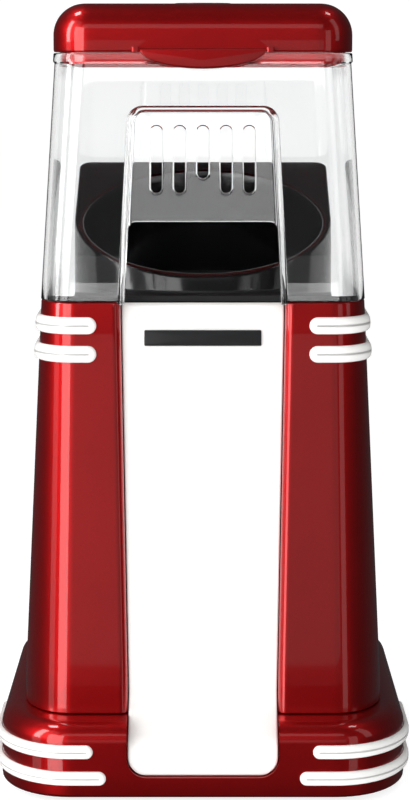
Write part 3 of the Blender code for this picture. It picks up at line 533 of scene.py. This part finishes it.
def stripePoints(section, z, offset, innerEnd, outerEnd, travel):
    # A point on a wall near its front left corner: travel 0 to 1 is the front run, 1 to 2 the corner's
    # quarter ellipse, 2 to 3 the side run; offset is how far it stands out of the wall.
    halfWidth, front, (across, along) = section(z)
    cornerX, cornerY = across - halfWidth, front + along
    turn = np.clip(travel - 1, 0, 1) * math.pi / 2
    x = cornerX - (across + offset) * np.sin(turn)
    y = cornerY - (along + offset) * np.cos(turn)
    x = x + np.where(travel < 1, -innerEnd - cornerX, 0) * (1 - np.minimum(travel, 1))
    y = y + np.where(travel > 2, outerEnd - cornerY, 0) * (np.maximum(travel, 2) - 2)
    return np.stack(np.broadcast_arrays(x, y, z), -1)


def stripe(name, section, bottom, top, innerEnd, outerEnd, side, slot, replaced):
    # A stadium laid on the wall: its outline shrinks on to its middle line ring by ring, and at the share q
    # from the middle it stands out by proud * (1 - q ** dome) ** (1 / dome).
    middle, radius = (bottom + top) / 2, (top - bottom) / 2 - 0.05
    halfWidth, front, (across, along) = section(middle)
    frontRun, sideRun = abs(across - halfWidth + innerEnd), abs(outerEnd - front - along)
    start, end = radius / frontRun, 3 - radius / sideRun
    path = np.concatenate([np.linspace(start, 1, 12)[:-1], np.linspace(1, 2, 28)[:-1],
                           np.linspace(2, end, 16)])
    turn = np.linspace(0, math.pi, stripes["endSteps"] + 1)[1:-1]
    # outline: along the top edge, round the outer end, back along the bottom edge, round the inner end
    heart = np.concatenate([path, np.full(len(turn), end), path[::-1], np.full(len(turn), start)])
    still = np.zeros(len(path))
    reach = np.concatenate([still, np.sin(turn) / sideRun, still, -np.sin(turn) / frontRun]) * radius
    rise = np.concatenate([still + 1, np.cos(turn), still - 1, -np.cos(turn)]) * radius
    q = np.concatenate([[0.0, 1.0], np.cos(np.linspace(0, math.pi / 2, stripes["rings"]))[1:] ** 0.8, [0.0]])
    out = stripes["proud"] * np.maximum(1 - q ** stripes["dome"], 0) ** (1 / stripes["dome"])
    q = np.concatenate([[0.0, 1.0, 1.0], q[2:]])
    out = np.concatenate([[stripes["back"], stripes["back"], 0.5], np.maximum(out[2:], 0.6)])
    q, out = q[:, None], out[:, None]
    points = stripePoints(section, middle + rise * q, out, innerEnd, outerEnd, heart + reach * q)
    points[..., 0] *= side
    return place(skin(name, points, ring=True), "base", slot, replaced)


stripeRows = {
    "upper_stripe_high": (towerCorner, 175.0, 181.5, 40.3, -14),
    "upper_stripe_low": (towerCorner, 164.3, 170.7, 40.3, -14),
    "lower_stripe_high": (baseCorner, 18.0, 23.3, 41.3, -20),
    "lower_stripe_low": (baseCorner, 7.8, 13.2, 36.4, -20),
}
for name, measures in stripeRows.items():
    for side, word in ((1, "left"), (-1, "right")):
        where, _, height = name.split("_")
        title = where + "Stripe" + height.title() + word.title()
        stripe(title, *measures, side, "white_plastic", f"{name}_{word}")
print("stripes made")


# Badge: a blank plate near the top of the slide

badge = {"width": 44.5, "height": 6.0, "thickness": 1.0, "z": 173.2, "edge": 0.3, "corner": (0.5, 0.5),
         "forward": 0.8}
(slideY, slideZ), (bendY, bendZ) = slide["corners"][:2]
slideSlope = math.atan2(slideY - bendY, slideZ - bendZ)
badgeY = slideY - (slideZ - badge["z"]) * math.tan(slideSlope) - badge["forward"]
turn = np.linspace(0, math.pi / 2, 5)
drop = np.concatenate([[0.0], badge["edge"] * (1 - np.cos(turn))])
depth = np.concatenate([[0.0], badge["thickness"] - badge["edge"] * (1 - np.sin(turn))])
flat = outline(badge["width"] / 2 - drop, -badge["height"] / 2 + drop, badge["height"] / 2 - drop,
               badge["corner"], badge["corner"], runs=6)
outward = badge["thickness"] / 2 - np.broadcast_to(depth[:, None], flat.shape[:2])
points = np.stack([flat[..., 0], outward, flat[..., 1]], -1) @ turnX(-slideSlope).T
place(skin("badgePlate", points + np.array([0, badgeY, badge["z"]])), "base", "black_plastic", "badge_plate")
print("badge made")


# Hood and chute

hood = {"bottom": 187.3, "top": 280.5, "wall": 1.5, "halfWidths": (62.0, 56.4), "fronts": (-62.0, -54.6),
        "rears": (62.0, 56.6), "corners": ((12.0, 14.0), (13.0, 14.0)), "rimBottom": 276.6, "rimProud": 0.6}
chute = {"top": 261.0, "halfWidths": (32.2, 28.7), "fronts": (-74.0, -62.0), "wall": 2.4, "edge": 3.0,
         "mouthTop": 218.0, "corner": 6.0, "topEdge": 0.25}
vents = {"pitch": 8.7, "width": 4.3, "top": 253.5, "bottoms": (228.5, 228.5, 234.0, 228.5, 228.5),
         "rim": ((20.0, 0.0), (0.65, 0.0), (0.3, 0.16), (0.0, 0.5), (-5.0, 5.5))}  # how deep, how much wider


def hoodShare(z):
    return (z - hood["bottom"]) / (hood["top"] - hood["bottom"])


def hoodRows(profile):
    share = hoodShare(profile[:, 1])
    sizes = (between(hood[key], share) for key in ("halfWidths", "fronts", "rears", "corners", "corners"))
    return atLevel(outline(*sizes, profile[:, 0]), profile[:, 1])


def chuteShare(z):
    return (z - hood["bottom"]) / (chute["top"] - hood["bottom"])


def arch(bottom, top, inset, radius, drop=0.0, steps=12):
    # Front view of the chute, one row for each inset: a trapezoid, open below, with round upper corners. drop
    # lowers the top edge, and a corner's ellipse shrinks with both so that the rows stay parallel.
    inset, drop = column(inset), column(drop)
    low = between(chute["halfWidths"], chuteShare(bottom)) - inset
    high = between(chute["halfWidths"], chuteShare(top)) - inset
    shrunk = np.maximum(radius - (inset - inset[-1:]), 0.5)
    turn = np.linspace(0, math.pi / 2, steps + 1)[None]
    x = np.concatenate([low, high - shrunk + shrunk * np.cos(turn)], 1)
    rise = np.broadcast_to(radius - drop, inset.shape)
    z = np.concatenate([np.full_like(low, bottom), top - radius + rise * np.sin(turn)], 1)
    side = np.array([0.05, 0.5, 0.95])[None]
    x, z = (np.concatenate([v[:, :1], v[:, :1] + (v[:, 1:2] - v[:, :1]) * side, v[:, 1:]], 1) for v in (x, z))
    return np.concatenate([x, -x[:, ::-1]], 1), np.concatenate([z, z[:, ::-1]], 1)


def archSolid(name, bottom, top, inset, radius, edge, setBack, behind, out=0.0):
    # Carried from the chute's face to behind the hood's face; edge rounds the face on a quarter circle.
    turn = np.linspace(0, math.pi / 2, 9) if edge else np.array([0.0])
    back, narrower = edge * (1 - np.sin(turn))[::-1], edge * (1 - np.cos(turn))[::-1]
    x, z = arch(bottom, top, inset + narrower, radius, narrower * chute["topEdge"])
    face = between(chute["fronts"], chuteShare(z)) + setBack + back[:, None] - out
    lastX, lastZ = arch(bottom, top, inset, radius)
    x, z = np.concatenate([x, lastX]), np.concatenate([z, lastZ])
    y = np.concatenate([face, between(hood["fronts"], hoodShare(lastZ)) + behind])
    return skin(name, np.stack([x, y, z], -1))


low, high, rimLow = hood["bottom"], hood["top"], hood["rimBottom"]
profile = roundLine(((0, low), (0, rimLow), (-hood["rimProud"], rimLow + 0.7), (-hood["rimProud"], high),
                     (hood["wall"], high), (hood["wall"], low)),
                    (0.3, 0.4, 0.4, 0.5, 0.3, 0.3), closed=True, spacing=20, steps=4)
hoodPiece = skin("clearHood", hoodRows(profile), ring=True)
carve(hoodPiece, [archSolid("chuteSolid", low, chute["top"], 0, chute["corner"], chute["edge"], 0,
                            hood["wall"] / 2)], "UNION")
cutters = [archSolid("chuteHollow", low - 4, chute["top"] - chute["wall"], chute["wall"], 4, 1.5,
                     chute["wall"], hood["wall"] + 5),
           archSolid("chuteMouth", low - 4, chute["mouthTop"], chute["wall"] + 0.4, 3, 0, 0, -2, out=9)]
for number, bottom in enumerate(vents["bottoms"]):
    # a stadium in x and z, opened by a rim where it comes out of the chute's face
    radius = vents["width"] / 2
    turn = np.linspace(0, 2 * math.pi, 33)[:-1]
    middle = np.where(np.sin(turn) >= 0, vents["top"] - radius, bottom + radius)
    inward, wider = (column(v) for v in zip(*vents["rim"]))
    x = vents["pitch"] * (number - 2) + (radius + wider) * np.cos(turn)
    z = middle + (radius + wider) * np.sin(turn)
    face = between(chute["fronts"], chuteShare(middle + radius * np.sin(turn)))
    cutters.append(skin("ventCut", np.stack([x, face + inward, z], -1)))
carve(hoodPiece, cutters)
place(hoodPiece, "hood", "clear_plastic", "hood")
print("hood made")


# Lid

lid = {"bottom": 280.8, "top": 299.2, "round": 12.0, "wall": 2.0, "skirtBottom": 276.5,
       "corners": (14.0, 15.0), "crown": 0.15, "middle": 0.5,
       "pad": 11.0, "padFoot": 0.4, "padBottom": 298.6, "padTop": 299.9}
lip = {"halfWidth": 23.8, "bottom": 274.7, "top": 281.9, "front": -58.2, "back": -55.6, "edge": 0.9,
       "ledge": (27.0, -57.1, 281.8, 0.7), "root": ((0, -55.6, 281.7), (51.0, 3.6, 1.2), 0.3),
       "nub": (25.4, -57.2, 281.9), "nubSize": (3.0, 2.0, 1.8), "nubRound": 0.9}


def lidRows(profile):
    proud = hood["rimProud"]
    flat = outline(hood["halfWidths"][1] + proud, hood["fronts"][1] - proud, hood["rears"][1] + proud,
                   lid["corners"], lid["corners"], profile[:, 0])
    return atLevel(flat, profile[:, 1])


turn = np.linspace(0, math.radians(88), 16)
roundStart = lid["top"] - lid["round"]
side = [[inset, lid["bottom"] + rise] for inset, rise in ((0.7, 0), (0.25, 0.12), (0.05, 0.5), (0, 1))]
outsideRows = lidRows(np.concatenate([side, quarterRound(0, roundStart, lid["round"], turn)]))
rim = outsideRows[-1:]
centre = np.array([0, lid["middle"], lid["top"]])
shrink = np.array([0.97, 0.85, 0.65, 0.45, 0.3])[:, None, None]
topRows = centre + (rim - centre) * shrink
topRows[..., 2] = lid["top"] + lid["crown"] * (1 - shrink[..., 0] ** 2)
skirtInset = hood["wall"] + hood["rimProud"] + 0.5
innerInset = skirtInset + lid["wall"]
innerRound = lid["round"] - innerInset
inner = quarterRound(innerInset, lid["top"] - lid["wall"] - innerRound, innerRound, turn)
skirt = [[innerInset, lid["skirtBottom"]], [skirtInset + 0.3, lid["skirtBottom"]],
         [skirtInset, lid["skirtBottom"] + 0.3], [skirtInset, lid["bottom"]]]
insideRows = lidRows(np.concatenate([inner[::-1], skirt]))
lidPiece = skin("lidShell", np.concatenate([topRows[::-1], outsideRows[::-1], insideRows[::-1]]))
# The lip is a crescent: half an ellipse below its ledge, whose rounded face narrows ring by ring.
turnLip = np.linspace(math.pi, 2 * math.pi, 49)
turn = np.linspace(0, math.pi / 2, 7)
narrow = np.concatenate([[0.2, 0.0], lip["edge"] * (1 - np.cos(turn))])[:, None]
lipY = column([lip["back"], lip["back"] - 0.2, *(lip["front"] + lip["edge"] * (1 - np.sin(turn)))])
lipX = (lip["halfWidth"] - narrow) * np.cos(turnLip)
lipZ = lip["top"] - 0.4 * narrow + (lip["top"] - lip["bottom"] - 1.4 * narrow) * np.sin(turnLip)
lipPiece = skin("thumbLip", np.stack(np.broadcast_arrays(lipX, lipY, lipZ), -1))


def roundBar(name, half, y, z, radius):
    # a bar across x with half-round ends: circles of radius * cos t, at radius * sin t from an end's middle
    turn = np.linspace(-math.pi / 2, math.pi / 2, 13)
    left, right = turn[:7], turn[6:]
    middle = half - radius
    x = column(np.concatenate([-middle + radius * np.sin(left), middle + radius * np.sin(right)]))
    size = column(radius * np.cos(np.concatenate([left, right])))
    angle = np.linspace(0, 2 * math.pi, 21)[:-1]
    points = np.stack(np.broadcast_arrays(x, y + size * np.cos(angle), z + size * np.sin(angle)), -1)
    return skin(name, points)


root = block("lipRoot", *lip["root"])
profile = roundLine(((0, lid["padBottom"]), (lid["pad"] + lid["padFoot"], lid["padBottom"]),
                     (lid["pad"], lid["padTop"]), (0, lid["padTop"])), (0, 0, 0.5, 0), closed=True, steps=5)
pad = turned("lidPad", profile, steps=72)
nubX, *nubPlace = lip["nub"]
nubs = [block("nub", (side * nubX, *nubPlace), lip["nubSize"], lip["nubRound"]) for side in (-1, 1)]
carve(lidPiece, [pad, root, lipPiece, roundBar("ledge", *lip["ledge"])] + nubs, "UNION")
place(lidPiece, "lid", "red_lacquer", "lid")
print("lid made")


# Collar round the mouth of the popping chamber

collar = {"deckMiddle": 216.1, "slope": math.tan(math.radians(21.9)), "radius": 51.2, "corner": 5.0,
          "shorter": 3.0, "wall": 1.5, "mouth": (47.2, 43.7), "mouthMiddle": -3.5, "spigot": 46.8,
          "chamberTop": 181.0, "flangeHalf": 59.9, "flangeBottom": 187.3, "flangeTop": 189.3,
          "fillet": ((0, 1.2), (0.35, 0.35), (1.2, 0))}  # how much wider, how high over the flange


def deckShape(inset):
    # Seen from above: the front half a circle, behind it straight sides and a back with rounded corners.
    radius = collar["radius"] - inset
    rounding = collar["corner"] - inset
    front = np.linspace(math.pi, 2 * math.pi, 65)
    back = radius - rounding - collar["shorter"]
    quarter = np.linspace(0, math.pi / 2, 9)
    x = np.concatenate([radius * np.cos(front), radius - rounding + rounding * np.cos(quarter),
                        rounding - radius - rounding * np.sin(quarter)])
    y = np.concatenate([radius * np.sin(front), back + rounding * np.sin(quarter),
                        back + rounding * np.cos(quarter)])
    # runs along the sides and the back are filled with points that crowd towards their ends
    line = np.stack([x, y], 1)
    ease = ((1 - np.cos(math.pi * np.arange(1, 10) / 10)) / 2)[:, None]
    parts = []
    for first, last in ((0, 65), (65, 74), (74, 83)):
        following = line[last % 83]
        parts += [line[first:last], line[last - 1] + (following - line[last - 1]) * ease]
    return np.concatenate(parts)


def mouthShape(wider, radii=collar["mouth"], middle=collar["mouthMiddle"]):
    # an oval with a point in the direction of each point of the deck
    deck = deckShape(0)
    angle = np.arctan2(deck[:, 1], deck[:, 0])
    return np.stack([(radii[0] + wider) * np.cos(angle), middle + (radii[1] + wider) * np.sin(angle)], 1)


def flangeShape():
    # rounded square |x| ** 10 + |y| ** 10 = half ** 10, again in the same directions
    deck = deckShape(0)
    return deck * (collar["flangeHalf"] / (np.abs(deck) ** 10).sum(1, keepdims=True) ** 0.1)


def onDeck(flat, drop=0.0):
    z = collar["deckMiddle"] + collar["slope"] * flat[:, 1] - drop
    return np.concatenate([flat, z[:, None]], 1)


def flatAt(flat, z):
    return np.concatenate([flat, np.full((len(flat), 1), z)], 1)


spigot = collar["chamberTop"] + gap
circle = {"radii": (collar["spigot"],) * 2, "middle": 0}
rimTurn = np.linspace(0, math.pi / 2, 6)
rows = [flatAt(mouthShape(0, **circle), spigot)]
low, high = flatAt(mouthShape(0, **circle), spigot), onDeck(mouthShape(0), 1.0)
rows += [low * (1 - t) + high * t for t in (0.05, 0.25, 0.5, 0.75, 0.95)]
rows += [onDeck(mouthShape(1 - math.cos(a)), 1 - math.sin(a)) for a in rimTurn]
rows += [onDeck(deckShape(1 - math.sin(a)), 1 - math.cos(a)) for a in rimTurn]
rows += [flatAt(deckShape(-wider), collar["flangeTop"] + rise) for wider, rise in collar["fillet"]]
thick = collar["wall"]
rows += [flatAt(flangeShape(), collar["flangeTop"]), flatAt(flangeShape(), collar["flangeBottom"]),
         flatAt(deckShape(thick), collar["flangeBottom"]), onDeck(deckShape(thick), thick + 1),
         onDeck(mouthShape(thick), thick + 1), flatAt(mouthShape(thick, **circle), spigot)]
place(skin("chamberCollar", np.stack(rows), ring=True), "base", "black_plastic", "chamber_collar",
      look="gloss_nylon")
print("collar made")


# Popping chamber

chamber = {"floor": 127.0, "sheet": 1.2, "flange": 50.4}
louvre = {"count": 12, "size": (9.0, 2.2, 12.0), "round": 0.4, "out": 43.0, "up": 12.0,
          "lean": 28, "first": 15}
floor, rimTop, sheet = chamber["floor"], collar["chamberTop"], chamber["sheet"]
profile = roundLine(((chamber["flange"], rimTop), (chamber["flange"], rimTop - sheet), (47.7, rimTop - sheet),
                     (43.2, floor + 3), (40, floor), (33, floor), (3, floor + 7), (0, floor + 7),
                     (0, floor + 7 + sheet), (3.5, floor + 7 + sheet), (33.2, floor + sheet),
                     (39.4, floor + sheet), (42, floor + 3.6), (46.5, rimTop)),
                    (0.3, 0.3, 1.2, 2.5, 2, 4, 1, 0, 0, 2, 4, 1.5, 2.5, 0.8), closed=True, spacing=8, steps=4)
chamberPiece = turned("poppingChamber", profile, steps=96)
cutters = []
for number in range(louvre["count"]):
    around = math.radians(360 / louvre["count"] * number + louvre["first"])
    cos, sin = math.cos(around), math.sin(around)
    turnZ = np.array([[cos, -sin, 0], [sin, cos, 0], [0, 0, 1]])
    centre = (louvre["out"] * cos, louvre["out"] * sin, floor + louvre["up"])
    cutters.append(block("louvreCut", centre, louvre["size"], louvre["round"],
                         turnZ @ turnX(math.radians(louvre["lean"]))))
carve(chamberPiece, cutters)
place(chamberPiece, "base", "aluminium", "popping_chamber")
print("chamber made")


# Switch, cord bush, feet and screws

switchPiece = switchBar("bezel", switch["bezel"], *(half + switch["bezelReach"] for half in switch["half"]),
                        switch["bezelCorner"], edge=switch["bezelEdge"])
carve(switchPiece, [switchBar("switchNeck", switch["neck"], *switch["half"], switch["corner"]),
                    switchBar("switchCan", switch["can"], *switch["half"], switch["corner"])], "UNION")
carve(switchPiece, [switchBar("switchWell", switch["well"], *switch["wellHalf"], switch["wellCorner"])])
switchPiece.name = "switchBody"
place(switchPiece, "base", "black_plastic", "switch_body")

rocker = {"halfWidth": 5.6, "halfLength": 7.6, "depth": 4.0, "pivotOut": -0.6, "middleOut": -0.5,
          "tilt": math.radians(8), "edge": 0.5, "bends": (0.5, 6, 0.5, 0.3, 0.3, 0.3, 0.3),
          "side": ((-7.6, 3.0), (0, 1.4), (7.6, 3.0), (7.6, -0.6), (3, -4), (-3, -4), (-7.6, -0.6))}
flat = roundLine(rocker["side"], rocker["bends"], closed=True, steps=5)
turn = np.linspace(0, math.pi / 2, 5)
# carried across x; both ends are rounded, each row shrunk towards the middle of the side view
inset = column(rocker["edge"] * (1 - np.sin(np.concatenate([turn, turn[::-1]]))))
end = rocker["halfWidth"] - rocker["edge"] * (1 - np.cos(turn))
across = column(np.concatenate([-end, end[::-1]]))
up = flat[:, 0] * (1 - inset / rocker["halfLength"])
out = (flat[:, 1] - rocker["middleOut"]) * (1 - inset / rocker["depth"]) + rocker["middleOut"]
points = np.stack(np.broadcast_arrays(across, out, up), -1) @ turnX(-rocker["tilt"]).T
points = points + np.array([0, rocker["pivotOut"], 0])
place(skin("switchRocker", onSwitch(points)), "rocker", "red_lacquer", "switch_rocker")

inner, outer = base["rear"] - wall - gap, base["rear"] + gap
back, front = base["rear"] + bush["proud"], base["rear"] - wall - bush["behind"]
bore, neck, flange = bush["bore"], bush["neck"], bush["flange"]
profile = roundLine(((bore, front), (flange, front), (flange, inner), (neck, inner), (neck, outer),
                     (flange, outer), (flange, back), (bore, back)),
                    (0.3, 0.4, 0.2, 0.2, 0.2, 0.2, 0.7, 0.6), closed=True, steps=4)
place(skin("cordBush", onBush(profile[:, 0], profile[:, 1]), ring=True), "base", "rubber", "cord_bush")

foot = {"radius": 7.0, "hollow": 4.6, "hollowUp": 0.4, "places": ((58, 62), (-58, 62), (-58, -58), (58, -58))}
profile = roundLine(((0, foot["hollowUp"]), (foot["hollow"], foot["hollowUp"]),
                     (foot["hollow"] + foot["hollowUp"], 0), (foot["radius"], 0),
                     (foot["radius"], base["bottom"]), (0, base["bottom"])),
                    (0, 0.1, 0.1, 0.7, 0.1, 0), closed=True, steps=4)
for number, centre in enumerate(foot["places"], 1):
    place(turned(f"foot{number}", profile, centre, 40), "base", "rubber", f"foot_{number}")

# A screw is a pan head with a cross recess below, and its shank above.
screw = {"bottom": 1.2, "headTop": 3.0, "top": 16.0, "head": 3.2, "shank": 1.5, "cross": (3.4, 0.9, 2.0),
         "crossRound": 0.2, "places": ((66, 20), (-66, 20), (-66, -24), (66, -24))}
profile = roundLine(((0, screw["top"]), (screw["shank"], screw["top"]), (screw["shank"], screw["headTop"]),
                     (screw["head"], screw["headTop"]), (screw["head"], screw["bottom"]),
                     (0, screw["bottom"])), (0, 0.5, 0.1, 0.2, 1.0, 0), closed=True, steps=4)
long, narrow, deep = screw["cross"]
for number, centre in enumerate(screw["places"], 1):
    made = turned(f"coverScrew{number}", profile, centre, 32)
    carve(made, [block("cross", (*centre, screw["bottom"]), size, screw["crossRound"])
                 for size in ((long, narrow, deep), (narrow, long, deep))])
    place(made, "base", "steel", f"cover_screw_{number}")
print("small pieces made")


# Room

def stageSheet(name, halfWidth, near, far, height, bend):
    # a floor that turns up into a wall on a quarter circle of radius bend, carried across x
    turn = np.linspace(0, math.pi / 2, 24)
    y = np.concatenate([[near], far - bend + bend * np.sin(turn), [far]])
    z = np.concatenate([[0.0], bend * (1 - np.cos(turn)), [height]])
    x = np.array([-halfWidth, halfWidth])[:, None]
    points = np.stack(np.broadcast_arrays(x, y[None], z[None]), -1)
    mesh = bpy.data.meshes.new(name)
    count = len(y)
    first = np.arange(count - 1)
    faces = np.stack([first, first + count, first + count + 1, first + 1], 1)
    mesh.from_pydata(points.reshape(-1, 3).tolist(), [], faces.tolist())
    mesh.shade_smooth()
    made = bpy.data.objects.new(name, mesh)
    scene.collection.objects.link(made)
    return made


# Seamless paper: matt, and shining a little by itself, so that it stays white behind the piece
floorPaper = finish("floorPaper", {
    "colour": "#a8a8a8", "colourTwo": "#ababab", "driftSize": 300, "grainSize": 2.0, "depth": 0.02,
    "roughness": (0.9, 0.98), "shader": {"Emission Color": (1, 1, 1, 1), "Emission Strength": 0.84}})
sweep = stageSheet("paperSweep", halfWidth=9.0, near=-9.0, far=3.2, height=2.6, bend=0.8)
sweep.data.materials.append(floorPaper)
sweep.visible_glossy = False

world = bpy.data.worlds.new("studio")
world.use_nodes = True
world.node_tree.nodes["Background"].inputs["Color"].default_value = linear("#8a8a8e")
world.node_tree.nodes["Background"].inputs["Strength"].default_value = 0.15
scene.world = world


def softBox(name, azimuth, elevation, distance, width, height, radiance):
    # Aimed at the piece's middle. azimuth is measured from straight in front, to the viewer's left when
    # negative. radiance is what a mirror would show of the box: power = radiance * pi * area.
    light = bpy.data.lights.new(name, "AREA")
    light.shape, light.size, light.size_y = "RECTANGLE", width, height
    light.energy = radiance * math.pi * width * height
    made = bpy.data.objects.new(name, light)
    around, up = math.radians(azimuth), math.radians(elevation)
    made.location = (distance * math.sin(around) * math.cos(up), -distance * math.cos(around) * math.cos(up),
                     aimHeight + distance * math.sin(up))
    made.rotation_euler = (math.pi / 2 - up, 0, around)
    made.visible_glossy = name != "frontFill"
    scene.collection.objects.link(made)


aimHeight = 0.16
softBoxes = {
    "leftWide": (-35, 6, 1.6, 0.9, 1.5, 3.4),
    "leftEdge": (-72, 3, 1.6, 0.5, 1.3, 0.8),
    "leftTall": (-60, 27, 1.6, 1.2, 1.36, 0.5),
    "leftStrip": (-72, 24, 1.6, 0.35, 1.2, 7.0),
    "leftHigh": (-100, 64, 1.5, 0.35, 0.3, 12.0),
    "rightWide": (40, 0, 1.6, 0.5, 1.2, 0.75),
    "rightTall": (72, 27, 1.6, 0.4, 1.36, 0.8),
    "rightHigh": (100, 64, 1.5, 0.25, 0.25, 6.0),
    "frontLow": (0, -1, 1.5, 1.4, 0.3, 0.3),
    "frontGlow": (0, 8, 2.4, 2.6, 1.5, 0.08),
    "frontHigh": (0, 36, 1.6, 1.2, 0.4, 0.7),
    "frontFill": (5, 25, 1.8, 1.2, 0.8, 4.2),  # no highlight of its own
}
for name, measures in softBoxes.items():
    softBox(name, *measures)

view = {"lens": 124.0, "sensor": 36.0, "place": (0.0008, -1.1, 0.285), "down": 7.42}
camera = bpy.data.cameras.new("camera")
camera.lens, camera.sensor_width = view["lens"], view["sensor"]
cameraObject = bpy.data.objects.new("camera", camera)
cameraObject.location = view["place"]
cameraObject.rotation_euler = (math.radians(90 - view["down"]), 0, 0)
scene.collection.objects.link(cameraObject)
scene.camera = cameraObject
scene.view_settings.view_transform = "Standard"
print("room made")
